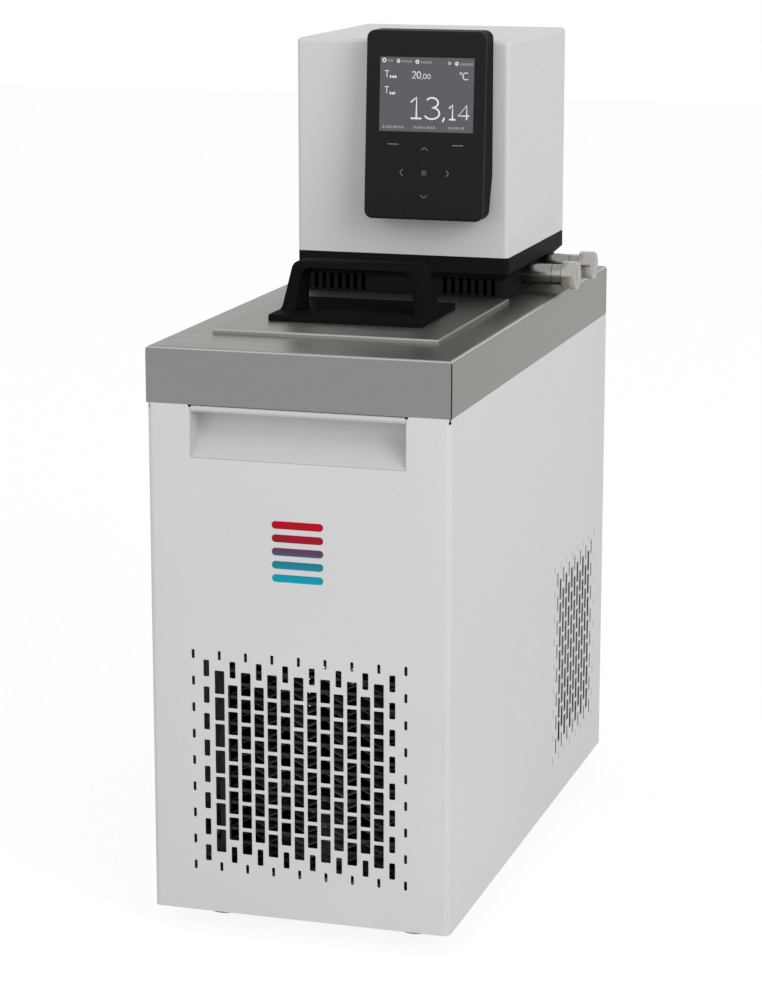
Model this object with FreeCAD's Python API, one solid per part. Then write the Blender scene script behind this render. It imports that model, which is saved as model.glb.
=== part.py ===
import FreeCAD, Part
import os
from math import atan2, cos, degrees, radians, sin, sqrt, tan

# Compact refrigerated bath circulator: cooling unit, bath and control head.
# Millimetres. X runs to the right seen from the front, Y to the back, Z up.
# Everything is modelled about the middle of the cooling unit, with the floor at Z 0.
# The finished pieces move together, so that the origin is the footprint's centre.

V = FreeCAD.Vector

# Cooling unit: outside sizes
body_width = 200.0
body_depth = 430.0
cover_height = 335.0
deck_height = 36.0
foot_height = 14.0

# Sheet gauges and general clearances
sheet = 1.5
deck_sheet = 1.2
lid_sheet = 1.0
fold_radius = 4.5
flange_width = 12.0
fit_gap = 0.3
shaft_gap = 0.05
cover_notch_width = 1.0
cover_notch_radius = 1.3
cover_notch_drop = 2.6

# Feet
foot_radius = 12.0
foot_across = 66.0
foot_setback = 46.0
foot_screw_radius = 2.5
foot_screw_head_radius = 4.5
foot_screw_head_height = 3.0
foot_counterbore_depth = 6.0

# Slot grilles: one lattice, whose slots grow from its rim towards its middle
slot_column_pitch = 8.87
slot_row_pitch = 17.74
slot_rows = 9
small_slot = (2.0, 6.1)
medium_slot = (3.9, 10.9)
big_slot = (6.5, 15.4)
grille_height = 101.84
front_columns = 17
side_columns = 15
side_grille_setback = 90.2

# Grip pocket under the deck
grip_width = 142.0
grip_height = 34.0
grip_depth = 18.6
grip_slope_rise = 18.5
grip_lip = 2.7
grip_roof_gap = 1.0

# Base pan
pan_flange = 18.0

# Rear panel
panel_screw_radius = 2.0
panel_screw_head_radius = 3.6
panel_screw_head = 2.4
panel_screw_rows = (60.0, 190.0, 325.0)
vent_count = 8
vent_width = 120.0
vent_slot = 5.0
vent_pitch = 14.0
vent_low = 52.0

# Bath
bath_width = 120.0
bath_setback = 65.0
bath_margin = 55.0
bath_depth = 160.0
bath_wall = 1.0
bath_corner = 25.0
bath_bottom_radius = 12.0
bath_flange = 8.0
deck_edge_radius = 2.5
deck_hem = 8.0
deck_seam = 0.4
foam_wall = 21.0
foam_floor = 20.0

# Evaporator coil
coil_tube_radius = 4.0
coil_wall_gap = 4.0
coil_rise = 14.0
coil_low = 22.0
coil_bend = 14.0

# Lid and its handle
lid_width = 151.0
lid_setback = 56.0
lid_rim = 3.0
lid_gap = 0.5
lid_edge_radius = 1.2
handle_plate_length = 105.0
handle_plate_width = 83.0
handle_plate = 4.0
handle_setback = 41.5
handle_height = 37.5
handle_top_width = 90.6
handle_bar_depth = 23.0
handle_foot_depth = 34.0
handle_bar = 5.8
handle_arm = 7.6
handle_flare = 5.0
handle_screw_radius = 2.5
handle_screw_head_radius = 4.5
handle_screw_head = 2.2
handle_screw_reach = 9.0

# Control head; the setbacks of what it carries are measured from its front
head_width = 151.0
head_depth = 162.3
head_margin = 38.4
head_base_height = 31.3
head_cover_height = 146.5
head_inset = 5.0
head_step = 15.0
head_corner = 3.5
head_floor = 3.0
head_wall = 2.5
cover_wall = 2.0
cover_edge_radius = 3.0
rib_pitch = 5.7
rib_slot = 3.2
rib_slot_low = 1.5
rib_slot_height = 12.5
rib_slots = 7
rib_first = 29.5
head_screw_across = 64.2
head_screw_radius = 2.0
head_screw_head_radius = 3.4
head_screw_head = 2.2
head_screw_inset = (26.0, 14.0)
rear_slots = 9
rear_slot_pitch = 10.0
rear_slot = (3.0, 36.0)
rear_slot_rise = 60.0

# Control panel: a wedge whose face leans back
panel_width = 83.4
panel_height = 126.4
panel_across = 22.3
panel_rise = 27.4
panel_top_depth = 18.3
panel_bottom_depth = 26.3
panel_back_knee = 29.5
panel_back_undercut = 9.7
panel_corner = 5.5
panel_face = 3.0
panel_face_radius = 1.6
panel_shell = 2.0
screen_width = 66.0
screen_height = 50.0
screen_drop = 17.5
screen_across = 1.0
window_thickness = 1.2
window_gap = 0.15
display_margin = 3.0
display_thickness = 5.0
board_thickness = 1.6

# Pump and its outlets
pump_across = -15.0
pump_setback = 75.7
motor_radius = 31.0
motor_height = 76.0
motor_plate = 4.0
motor_plate_side = 70.0
motor_post = 37.0
motor_post_radius = 4.5
motor_post_across = 29.0
motor_boss_radius = 12.0
motor_boss = 6.0
pump_shaft_radius = 4.0
shaft_in_motor = 22.0
pump_drop = 119.0
pump_radius = 30.0
pump_wall = 6.0
pump_floor = 3.0
pump_cup_height = 22.0
pump_lid = 4.0
pump_inlet_radius = 9.0
impeller_radius = 21.5
impeller_height = 12.0
impeller_disc = 3.0
impeller_hub_radius = 7.0
impeller_vanes = 6
impeller_vane = 2.0
impeller_clearance = 2.5
rod_radius = 3.0
rod_across = 19.0
shaft_hole_radius = 7.0
port_radius = 7.5
port_reach = 37.0
pipe_radius = 5.5
pipe_bore_radius = 4.5
pipe_bend = 9.0
pipe_across = 38.0
outlet_rise = 12.2
outlet_setbacks = (63.7, 116.7)
outlet_radius = 7.3
outlet_bore_radius = 4.5
outlet_hole_radius = 7.6
outlet_flange_radius = 8.6
outlet_flange = 2.0
outlet_length = 21.8
spigot_radius = 6.0
spigot_length = 11.0
cap_neck = 5.5
cap_cone = 2.4
cap_radius = 9.7
cap_length = 10.3
cap_edge = 1.2
return_drop = 82.0

# Heater, probe and level float
heater_radius = 4.0
heater_span = 55.0
heater_left = -38.0
heater_setback = 118.7
heater_drop = 145.0
heater_bend = 14.0
heater_terminal = 8.0
probe_radius = 2.0
probe_place = (-45.0, 30.7)
probe_drop = 130.0
probe_top = 8.0
float_place = (30.0, 25.7)
float_rod_radius = 2.0
float_rod_drop = 95.0
float_radius = 11.0
float_height = 18.0
float_bore_gap = 0.1
float_travel = 22.0
float_stop_radius = 4.5
float_stop = 2.0

# Control board
board_width = 116.0
board_height = 92.0
board_setback = 136.7
board_relay = (6.0, 8.0, 34.0, 32.0, 8.4)
board_coil = (66.0, 50.0, 38.0, 28.0, 6.4)
capacitor_radius = 7.0
capacitor_length = 8.4
capacitor_rise = 24.0
capacitor_across = (52.0, 72.0)

# Condenser and its fan
condenser_left = 43.0
condenser_width = 128.0
condenser_depth = 18.0
condenser_gap = 8.5
condenser_height = 176.0
header_width = 7.0
tube_count = 17
tube_height = 2.0
tube_low = 25.0
fin_folds = 9
fin_sheet = 0.5
shroud_depth = 22.0
shroud_ring = 7.0
shroud_ring_radius = 61.0
fan_radius = 56.0
fan_hub_radius = 18.0
fan_hub = 20.0
fan_inset = 5.0
fan_blade_count = 5
fan_blade = 1.8
fan_blade_width = 26.0
fan_root_pitch = 42.0
fan_tip_pitch = 24.0
fan_shaft_radius = 3.0
fan_shaft_in_motor = 20.0
fan_motor_radius = 26.0
fan_motor_length = 38.0
fan_motor_gap = 10.0
bracket_width = 18.0

# Compressor and refrigerant lines
compressor_across = -5.0
compressor_margin = 105.0
compressor_radius = 57.0
compressor_height = 148.0
compressor_seam = 2.5
compressor_seam_height = 5.0
compressor_plate = (130.0, 110.0, 3.0)
compressor_dome = 26.0
grommet_radius = 9.0
grommet_height = 8.0
grommet_inset = 12.0
stub_radius = 4.5
stub_reach = 4.0
line_radius = 3.0
line_bend = 12.0
line_side_gap = 10.0
discharge_height = 130.0
suction_height = 66.0
suction_back = 10.0
capillary_radius = 1.5
drier_radius = 11.0
drier_length = 90.0
drier_across = 80.0
drier_setback = 65.0
drier_height = 46.0
drier_neck = 10.0

# Drain
drain_height = 11.0
drain_pipe_radius = 6.0
drain_bore_radius = 4.5
drain_flange_radius = 10.0
drain_flange = 4.0
drain_thread_radius = 7.0
drain_hole_radius = 7.3
drain_reach = 13.0
drain_cap_radius = 10.0
drain_cap_length = 15.0
drain_cap_end = 3.0

# Mains inlet and switch
inlet_across = -55.0
inlet_height = 296.0
inlet_body = (27.0, 19.8)
inlet_flange = (31.0, 24.0)
inlet_plate = 2.0
inlet_body_depth = 24.0
inlet_recess = (24.0, 16.8)
inlet_recess_depth = 17.0
inlet_bevel = 4.0
inlet_pin = (4.0, 2.0, 14.0)
inlet_pin_across = 7.0
inlet_pin_rise = 2.0
inlet_earth_rise = 6.0
switch_across = -12.0
switch_width = 15.0
switch_wall = 1.6
switch_flange = 1.8
switch_plate = 2.0
switch_body_depth = 16.0
rocker_half_height = 5.2
rocker_room = 1.5
rocker_depth = 9.0
rocker_proud = 3.2
rocker_crest = 0.9
rocker_pin_radius = 1.2
rocker_tilt = 10.0

# Places worked out from the sizes above
left = -body_width / 2
right = body_width / 2
front = -body_depth / 2
back = body_depth / 2
cover_low = foot_height
cover_top = cover_low + cover_height
deck_top = cover_top + deck_height
deck_under = deck_top - deck_sheet
lid_top = deck_top + lid_rim
head_front = back - head_margin - head_depth
head_back = head_front + head_depth
head_base_top = deck_top + head_base_height
head_top = head_base_top + head_cover_height
head_low_front = head_front + head_inset
head_low_back = head_back - head_inset
head_low_side = head_width / 2 - head_inset
head_floor_top = deck_top + head_floor
bath_front = front + bath_setback
bath_back = back - bath_margin
bath_side = bath_width / 2
bath_floor = deck_top - bath_depth
foam_low = bath_floor - foam_floor
pan_top = foot_height + sheet
grille_middle = foot_height + grille_height
side_grille_middle = back - side_grille_setback
outlet_height = deck_top + outlet_rise
outlet_start = head_low_side - head_wall
outlet_seam = outlet_start + outlet_flange + outlet_length
outlet_end = outlet_seam + cap_neck + cap_cone + cap_length
drain_axis = bath_floor + drain_height
drain_end = back + drain_reach + drain_cap_end + fit_gap
origin_across = (left + outlet_end) / 2
origin_back = (front + drain_end) / 2


# Plain solids

def box(x0, x1, y0, y1, z0, z1):
    return Part.makeBox(x1 - x0, y1 - y0, z1 - z0, V(x0, y0, z0))


def rod_x(x0, x1, y, z, radius):
    return Part.makeCylinder(radius, x1 - x0, V(x0, y, z), V(1, 0, 0))


def rod_y(y0, y1, x, z, radius):
    return Part.makeCylinder(radius, y1 - y0, V(x, y0, z), V(0, 1, 0))


def rod_z(z0, z1, x, y, radius):
    return Part.makeCylinder(radius, z1 - z0, V(x, y, z0), V(0, 0, 1))


def prism(points, along):
    """A closed polygon pushed along a vector."""
    return Part.Face(Part.makePolygon(points + [points[0]])).extrude(along)


def prism_x(outline, x0, x1):
    return prism([V(x0, y, z) for y, z in outline], V(x1 - x0, 0, 0))


def prism_y(outline, y0, y1):
    return prism([V(x, y0, z) for x, z in outline], V(0, y1 - y0, 0))


def rounded_wire(x0, x1, y0, y1, z, radius):
    """A rectangle with round corners, lying level at height z."""
    k = radius * (1 - sqrt(0.5))
    lines = [
        (V(x0 + radius, y0, z), V(x1 - radius, y0, z)),
        (V(x1, y0 + radius, z), V(x1, y1 - radius, z)),
        (V(x1 - radius, y1, z), V(x0 + radius, y1, z)),
        (V(x0, y1 - radius, z), V(x0, y0 + radius, z)),
    ]
    middles = [V(x1 - k, y0 + k, z), V(x1 - k, y1 - k, z), V(x0 + k, y1 - k, z), V(x0 + k, y0 + k, z)]
    edges = []
    for index in range(4):
        start, end = lines[index]
        following = lines[(index + 1) % 4][0]
        edges.append(Part.LineSegment(start, end).toShape())
        edges.append(Part.Arc(end, middles[index], following).toShape())
    return Part.Wire(edges)


def rounded_slab(x0, x1, y0, y1, z0, z1, radius):
    return Part.Face(rounded_wire(x0, x1, y0, y1, z0, radius)).extrude(V(0, 0, z1 - z0))


def fillet_where(shape, radius, chosen):
    """Rounds the edges that a test on each edge picks."""
    edges = [edge for edge in shape.Edges if chosen(edge)]
    return shape.makeFillet(radius, edges)


def level_at(z):
    """A test for edges that lie level at height z."""
    return lambda edge: abs(edge.BoundBox.ZMin - z) < 1e-4 and abs(edge.BoundBox.ZMax - z) < 1e-4


def turned(profile, base, axis):
    """Revolves a closed outline of (reach, radius) pairs about an axis through base."""
    side = V(0, 0, 1) if abs(axis.z) < 0.5 else V(1, 0, 0)
    points = [base + axis * reach + side * radius for reach, radius in profile]
    face = Part.Face(Part.makePolygon(points + [points[0]]))
    return face.revolve(base, axis, 360)


# Bent tubes

def bent_skin(points, bend, radius):
    """The round skin of straight runs and tangent bends, and the rings at its two ends."""
    first = Part.makeCircle(radius, points[0], points[1] - points[0])
    ring = first
    start = points[0]
    faces = []
    for before, corner, after in zip(points, points[1:], points[2:]):
        inward = (corner - before).normalize()
        outward = (after - corner).normalize()
        turn = inward.getAngle(outward)
        reach = bend * tan(turn / 2)
        run = corner - inward * reach - start
        axis = inward.cross(outward).normalize()
        centre = start + run + axis.cross(inward) * bend
        faces.append(ring.extrude(run))
        ring = ring.translated(run)
        faces.append(ring.revolve(centre, axis, degrees(turn)))
        ring = ring.rotated(centre, axis, degrees(turn))
        start = corner + outward * reach
    run = points[-1] - start
    faces.append(ring.extrude(run))
    return faces, first, ring.translated(run)


def closed_solid(faces):
    """Faces that meet edge to edge, sewn into a solid that is right side out."""
    shell = Part.makeShell(faces)
    shell.sewShape()
    solid = Part.makeSolid(shell)
    solid.fix(1e-4, 1e-4, 1e-4)
    if solid.Volume < 0:
        solid.reverse()
    return solid


def bent_bar(points, bend, radius):
    faces, first, last = bent_skin(points, bend, radius)
    return closed_solid(faces + [Part.Face(Part.Wire(ring)) for ring in (first, last)])


def bent_tube(points, bend, radius, bore):
    outer, outer_first, outer_last = bent_skin(points, bend, radius)
    inner, inner_first, inner_last = bent_skin(points, bend, bore)
    rings = ((outer_first, inner_first), (outer_last, inner_last))
    ends = [Part.Face([Part.Wire(wide), Part.Wire(narrow)]) for wide, narrow in rings]
    return closed_solid(outer + [face.reversed() for face in inner] + ends)


# The slot lattice

def lattice(columns):
    """Slots as (across, up, width, height), about the lattice's middle."""
    slots = []
    last = columns - 1
    for column in range(columns):
        across = (column - last / 2) * slot_column_pitch
        rim = min(column, last - column)
        offset = column % 2
        rows = slot_rows - offset
        for row in range(rows):
            up = ((rows - 1) / 2 - row) * slot_row_pitch
            at_end = row in (0, rows - 1)
            if rim == 0 or (at_end and not offset):
                size = small_slot
            elif rim == 1 or at_end:
                size = medium_slot
            else:
                size = big_slot
            slots.append((across, up, size[0], size[1]))
    return slots


def slot_wire(place, across, up, width, height):
    """The outline of one slot; place maps (across, up) to a point."""
    a0 = across - width / 2
    a1 = across + width / 2
    b0 = up - height / 2
    b1 = up + height / 2
    corners = [place(a0, b0), place(a1, b0), place(a1, b1), place(a0, b1)]
    return Part.makePolygon(corners + [corners[0]])


def perforated(outline, slots, place, through):
    """A flat sheet with an outline of (across, up) points, cut by slots."""
    rim = [place(a, b) for a, b in outline]
    wires = [Part.makePolygon(rim + [rim[0]])]
    for across, up, width, height in slots:
        wires.append(slot_wire(place, across, up, width, height))
    face = Part.makeFace(wires, "Part::FaceMakerBullseye")
    return face.extrude(through)


# Sheet-metal pieces of the cooling unit

def grip_outline(inset):
    """The pocket's inner section in (Y, Z), reaching past the front by inset."""
    low = cover_top - grip_height
    rise = grip_slope_rise / grip_depth
    roof = cover_top - grip_roof_gap - sheet
    deep = front + grip_depth
    return [
        (front - inset, low - inset * rise), (deep, low + grip_slope_rise), (deep, roof),
        (front - inset, roof),
    ]


def make_housing_cover():
    flat = right - fold_radius
    grip = grip_width / 2
    grip_low = cover_top - grip_height
    outline = [
        (-flat, cover_low), (flat, cover_low), (flat, cover_top), (grip, cover_top),
        (grip, grip_low), (-grip, grip_low), (-grip, cover_top), (-flat, cover_top),
    ]
    front_slots = [(a, grille_middle + b, w, h) for a, b, w, h in lattice(front_columns)]
    wall = perforated(outline, front_slots, lambda a, b: V(a, front, b), V(0, sheet, 0))
    wall = wall.cut(prism_x(grip_outline(sheet), -grip, grip))
    pieces = [wall]
    side_slots = [
        (side_grille_middle + a, grille_middle + b, w, h) for a, b, w, h in lattice(side_columns)
    ]
    flat_front = front + fold_radius
    side_outline = [
        (flat_front, cover_low), (back, cover_low), (back, cover_top), (flat_front, cover_top),
    ]
    for side in (-1, 1):
        outer = side * right
        pieces.append(
            perforated(side_outline, side_slots, lambda a, b: V(outer, a, b), V(-side * sheet, 0, 0))
        )
        pieces.append(make_fold(side))
        inner = side * (right - sheet - flange_width)
        x0, x1 = sorted((inner, outer - side * sheet))
        pieces.append(box(x0, x1, flat_front, back - sheet, cover_top - sheet, cover_top))
        pieces.append(box(x0, x1, back - 2 * sheet, back - sheet, pan_top + pan_flange + 2, cover_top))
        f0, f1 = sorted((side * flat, side * (grip + 2 * sheet)))
        pieces.append(
            box(f0, f1, front + sheet, front + sheet + flange_width, cover_top - sheet, cover_top)
        )
    cover = pieces[0].multiFuse(pieces[1:]).removeSplitter()
    for side in (-1, 1):
        for height in panel_screw_rows:
            across = side * (right - sheet - flange_width / 2)
            hole = rod_y(back - 3 * sheet, back, across, height, panel_screw_radius + shaft_gap)
            cover = cover.cut(hole)
    return cover


def make_fold(side):
    """One round vertical edge of the cover, with its bend relief at the top."""
    centre = V(side * (right - fold_radius), front + fold_radius, cover_low)
    outer = Part.makeCylinder(fold_radius, cover_height, centre)
    inner = Part.makeCylinder(fold_radius - sheet, cover_height, centre)
    x0, x1 = sorted((centre.x, centre.x + side * fold_radius))
    quarter = box(x0, x1, front, centre.y, cover_low, cover_top)
    fold = outer.cut(inner).common(quarter)
    toward = V(side, -1, 0).normalize()
    start = V(centre.x, centre.y, cover_top - cover_notch_drop)
    hole = Part.makeCylinder(cover_notch_radius, 2 * fold_radius, start, toward)
    slit = Part.makeBox(
        2 * fold_radius, cover_notch_width, cover_notch_drop, V(0, -cover_notch_width / 2, 0)
    )
    slit.rotate(V(0, 0, 0), V(0, 0, 1), degrees(atan2(toward.y, toward.x)))
    slit.translate(start)
    return fold.cut(hole).cut(slit)


def make_grip_pocket():
    grip = grip_width / 2
    low = cover_top - grip_height
    slope = atan2(grip_slope_rise, grip_depth)
    under = sheet / cos(slope)
    inner_front = front + sheet
    deep = front + grip_depth + sheet
    roof = cover_top - grip_roof_gap
    start = low + sheet * tan(slope) - under
    outline = [
        (inner_front, start), (deep, low + (grip_depth + sheet) * tan(slope) - under), (deep, roof),
        (inner_front, roof),
    ]
    shell = prism_x(outline, -grip - sheet, grip + sheet)
    shell = shell.cut(prism_x(grip_outline(sheet), -grip, grip))
    lip = box(-grip + fit_gap, grip - fit_gap, front, inner_front + sheet, roof - grip_lip, roof)
    lip = fillet_where(
        lip, sheet * 0.45, lambda e: abs(e.BoundBox.YMax - front) < 1e-4 and e.BoundBox.XLength > 1
    )
    return shell.fuse(lip).removeSplitter()


def make_base_pan():
    side = right - sheet - fit_gap
    low_y = front + sheet + fit_gap
    high_y = back - sheet - fit_gap
    corner = fold_radius
    tray = rounded_slab(-side, side, low_y, high_y, foot_height, pan_top + pan_flange, corner)
    hollow = rounded_slab(
        -side + sheet, side - sheet, low_y + sheet, high_y - sheet, pan_top, pan_top + pan_flange + 1,
        corner - sheet
    )
    tray = tray.cut(hollow)
    for x, y in foot_places():
        tray = tray.cut(rod_z(foot_height - 1, pan_top + 1, x, y, foot_screw_radius + shaft_gap))
    return tray


def foot_places():
    near = front + foot_setback
    return [(-foot_across, near), (foot_across, near), (-foot_across, -near), (foot_across, -near)]


def make_feet():
    feet = []
    profile = [
        (0, 0), (0, foot_radius - 1.5), (1.5, foot_radius), (foot_height, foot_radius - 1),
        (foot_height, 0),
    ]
    for x, y in foot_places():
        foot = turned(profile, V(x, y, 0), V(0, 0, 1))
        counterbore = rod_z(-1, foot_counterbore_depth, x, y, foot_screw_head_radius + fit_gap)
        hole = rod_z(-1, foot_height + 1, x, y, foot_screw_radius + shaft_gap)
        feet.append(foot.cut(counterbore).cut(hole))
    return Part.makeCompound(feet)


def make_foot_screws():
    screws = []
    for x, y in foot_places():
        low = foot_counterbore_depth - foot_screw_head_height
        head = rod_z(low, foot_counterbore_depth, x, y, foot_screw_head_radius)
        shank = rod_z(foot_counterbore_depth, pan_top + 2 * sheet, x, y, foot_screw_radius)
        screws.append(head.fuse(shank))
    return Part.makeCompound(screws)


def make_rear_panel():
    side = right - sheet - fit_gap
    top = cover_top - fit_gap
    outline = [(-side, cover_low), (side, cover_low), (side, top), (-side, top)]
    slots = [
        (0, vent_low + row * vent_pitch, vent_width, vent_slot) for row in range(vent_count)
    ]
    slots.append((inlet_across, inlet_height, inlet_body[0] + fit_gap, inlet_body[1] + fit_gap))
    slots.append(
        (switch_across, inlet_height, switch_body_width() + fit_gap, switch_body_height() + fit_gap)
    )
    sheet_metal = perforated(outline, slots, lambda a, b: V(a, back - sheet, b), V(0, sheet, 0))
    for x, z in panel_screw_places():
        sheet_metal = sheet_metal.cut(
            rod_y(back - 2 * sheet, back + 1, x, z, panel_screw_radius + shaft_gap)
        )
    return sheet_metal.cut(rod_y(back - 2 * sheet, back + 1, 0, drain_axis, drain_hole_radius))


def panel_screw_places():
    across = right - sheet - flange_width / 2
    return [(side * across, height) for side in (-1, 1) for height in panel_screw_rows]


def make_panel_screws():
    screws = []
    for x, z in panel_screw_places():
        head = rod_y(back, back + panel_screw_head, x, z, panel_screw_head_radius)
        rim = [e for e in head.Edges if abs(e.BoundBox.YMin - back - panel_screw_head) < 1e-4]
        head = head.makeFillet(panel_screw_head * 0.4, rim)
        shank = rod_y(back - 3 * sheet, back, x, z, panel_screw_radius)
        screws.append(head.fuse(shank))
    return Part.makeCompound(screws)


# Bath and deck

def make_deck():
    shell = box(left, right, front, back, cover_top, deck_top)
    shell = fillet_where(shell, deck_edge_radius, level_at(deck_top))
    t = deck_sheet
    hollow = box(left + t, right - t, front + t, back - t, cover_top + t, deck_under)
    hollow = fillet_where(hollow, deck_edge_radius - t, level_at(deck_under))
    mouth = box(
        left + deck_hem, right - deck_hem, front + deck_hem, back - deck_hem, cover_top - 1,
        cover_top + t + 1
    )
    deck = shell.cut(hollow).cut(mouth)
    deck = deck.cut(
        rounded_slab(
            -bath_side, bath_side, bath_front, bath_back, deck_under - 1, deck_top + 1, bath_corner
        )
    )
    for side in (-1, 1):
        x0, x1 = sorted((side * (right - t), side * (right + 1)))
        deck = deck.cut(
            box(x0, x1, front + t, front + t + deck_seam, cover_top + t, deck_top - deck_edge_radius)
        )
        deck = deck.cut(
            box(x0, x1, back - t - deck_seam, back - t, cover_top + t, deck_top - deck_edge_radius)
        )
    for x, y in head_screw_places():
        deck = deck.cut(rod_z(deck_under - 1, deck_top + 1, x, y, head_screw_radius + shaft_gap))
    return deck


def bath_outer(grow, low, high):
    side = bath_side + bath_wall + grow
    return rounded_slab(
        -side, side, bath_front - bath_wall - grow, bath_back + bath_wall + grow, low, high,
        bath_corner + bath_wall + grow
    )


def make_bath_vessel():
    outer = bath_outer(0, bath_floor - bath_wall, deck_under)
    outer = fillet_where(outer, bath_bottom_radius + bath_wall, level_at(bath_floor - bath_wall))
    flange = bath_outer(bath_flange - bath_wall, deck_under - bath_wall, deck_under)
    inner = rounded_slab(
        -bath_side, bath_side, bath_front, bath_back, bath_floor, deck_under + 1, bath_corner
    )
    inner = fillet_where(inner, bath_bottom_radius, level_at(bath_floor))
    vessel = outer.fuse(flange).cut(inner)
    for x, y in head_screw_places():
        vessel = vessel.cut(rod_z(deck_under - 3, deck_top, x, y, head_screw_radius + shaft_gap))
    for x, z in [(0, drain_axis)] + coil_ports():
        radius = drain_pipe_radius if x == 0 else coil_tube_radius
        vessel = vessel.cut(rod_y(bath_back - bath_corner, bath_back + 5, x, z, radius + shaft_gap))
    return vessel


def make_bath_insulation():
    side = bath_side + bath_wall + foam_wall
    low_y = bath_front - bath_wall - foam_wall
    high_y = bath_back + bath_wall + foam_wall
    top = deck_under - bath_wall - fit_gap
    foam = box(-side, side, low_y, high_y, foam_low, top)
    foam = foam.cut(bath_outer(fit_gap, bath_floor - bath_wall, deck_top))
    for x, z in [(0, drain_axis)] + coil_ports():
        radius = drain_pipe_radius if x == 0 else coil_tube_radius
        foam = foam.cut(rod_y(bath_back - bath_corner, high_y + 1, x, z, radius + fit_gap))
    return foam


def coil_side():
    return bath_side - coil_wall_gap - coil_tube_radius


def coil_ports():
    low = bath_floor + coil_low
    return [(-coil_side(), low + coil_rise / 4), (coil_side(), low + 1.5 * coil_rise)]


def coil_end():
    return bath_back + bath_wall + foam_wall + 2 * fit_gap


def make_evaporator_coil():
    side = coil_side()
    near = bath_front + coil_wall_gap + coil_tube_radius
    far = bath_back - coil_wall_gap - 2 * coil_tube_radius
    low = bath_floor + coil_low
    quarter = coil_rise / 4
    points = [
        V(-side, coil_end(), low + quarter), V(-side, near, low + quarter),
        V(side, near, low + 2 * quarter),
        V(side, far, low + 3 * quarter), V(-side, far, low + 4 * quarter),
        V(-side, near, low + 5 * quarter),
        V(side, near, low + 6 * quarter), V(side, coil_end(), low + 6 * quarter),
    ]
    return bent_bar(points, coil_bend, coil_tube_radius)


def make_lid():
    half = lid_width / 2
    near = front + lid_setback
    far = head_low_front - lid_gap
    t = lid_sheet
    lid = box(-half, half, near, far, deck_top, lid_top)
    lid = fillet_where(lid, lid_edge_radius, level_at(lid_top))
    lid = lid.cut(box(-half + t, half - t, near + t, far - t, deck_top - 1, lid_top - t))
    for side in (-1, 1):
        x0, x1 = sorted((side * (half - t), side * (half + 1)))
        lid = lid.cut(box(x0, x1, near + t, near + t + deck_seam, deck_top - 1, lid_top - t))
    for x in handle_screw_places():
        lid = lid.cut(rod_z(deck_top, lid_top + 1, x, handle_middle(), handle_screw_radius + shaft_gap))
    return lid


# Lid handle

def handle_middle():
    return front + lid_setback + handle_setback + handle_plate_width / 2


def handle_screw_places():
    across = handle_plate_length / 2 - handle_arm
    return [-across, across]


def make_lid_handle():
    foot = handle_plate_length / 2
    low = lid_top
    plate_top = low + handle_plate
    top = low + handle_height
    shoulder = handle_top_width / 2
    lean = (foot - handle_flare - shoulder) / (handle_height - handle_plate)
    inner_foot = foot - handle_flare - handle_arm
    arch = [
        (-foot, plate_top - 1), (-foot, plate_top), (-foot + handle_flare, plate_top + handle_flare),
        (-shoulder, top), (shoulder, top), (foot - handle_flare, plate_top + handle_flare),
        (foot, plate_top),
        (foot, plate_top - 1),
    ]
    gap_top = top - handle_bar
    gap_shoulder = inner_foot - lean * (gap_top - plate_top)
    gap = [
        (-inner_foot, plate_top), (-gap_shoulder, gap_top), (gap_shoulder, gap_top),
        (inner_foot, plate_top),
    ]
    middle = handle_middle()
    reach = handle_foot_depth / 2
    bridge = prism_y(arch, middle - reach, middle + reach)
    bridge = fillet_where(
        bridge, handle_flare,
        lambda e: abs(abs(e.BoundBox.XMin) - shoulder) < 1e-3 and e.BoundBox.ZMin > top - 1
    )
    bridge = fillet_where(
        bridge, 2 * handle_flare,
        level_at(plate_top + handle_flare),
    )
    half_bar = handle_bar_depth / 2
    flank = [
        (middle - reach, plate_top - 2), (middle - reach, plate_top), (middle - half_bar, gap_top),
        (middle - half_bar, top + 1), (middle + half_bar, top + 1), (middle + half_bar, gap_top),
        (middle + reach, plate_top), (middle + reach, plate_top - 2),
    ]
    bridge = bridge.common(prism_x(flank, -foot - 1, foot + 1))
    opening = prism_y(gap, middle - reach - 1, middle + reach + 1)
    opening = fillet_where(
        opening, handle_flare,
        lambda e: level_at(gap_top)(e) and e.BoundBox.XLength < 1e-3,
    )
    half_plate = handle_plate_width / 2
    plate = rounded_slab(-foot, foot, middle - half_plate, middle + half_plate, low, plate_top, 2.0)
    handle = bridge.cut(opening).fuse(plate).removeSplitter()
    for x in handle_screw_places():
        handle = handle.cut(
            rod_z(low - 1, low + handle_screw_reach + 1, x, middle, handle_screw_radius + shaft_gap)
        )
    return handle


def make_handle_screws():
    screws = []
    under = lid_top - lid_sheet
    for x in handle_screw_places():
        head = rod_z(under - handle_screw_head, under, x, handle_middle(), handle_screw_head_radius)
        shank = rod_z(under, lid_top + handle_screw_reach, x, handle_middle(), handle_screw_radius)
        screws.append(head.fuse(shank))
    return Part.makeCompound(screws)


# Control head

def pump_y():
    return head_front + pump_setback


def outlet_places():
    return [head_front + setback for setback in outlet_setbacks]


def head_screw_places():
    near = head_front + head_screw_inset[0]
    far = head_back - head_screw_inset[1]
    return [(x, y) for x in (-head_screw_across, head_screw_across) for y in (near, far)]


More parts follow.
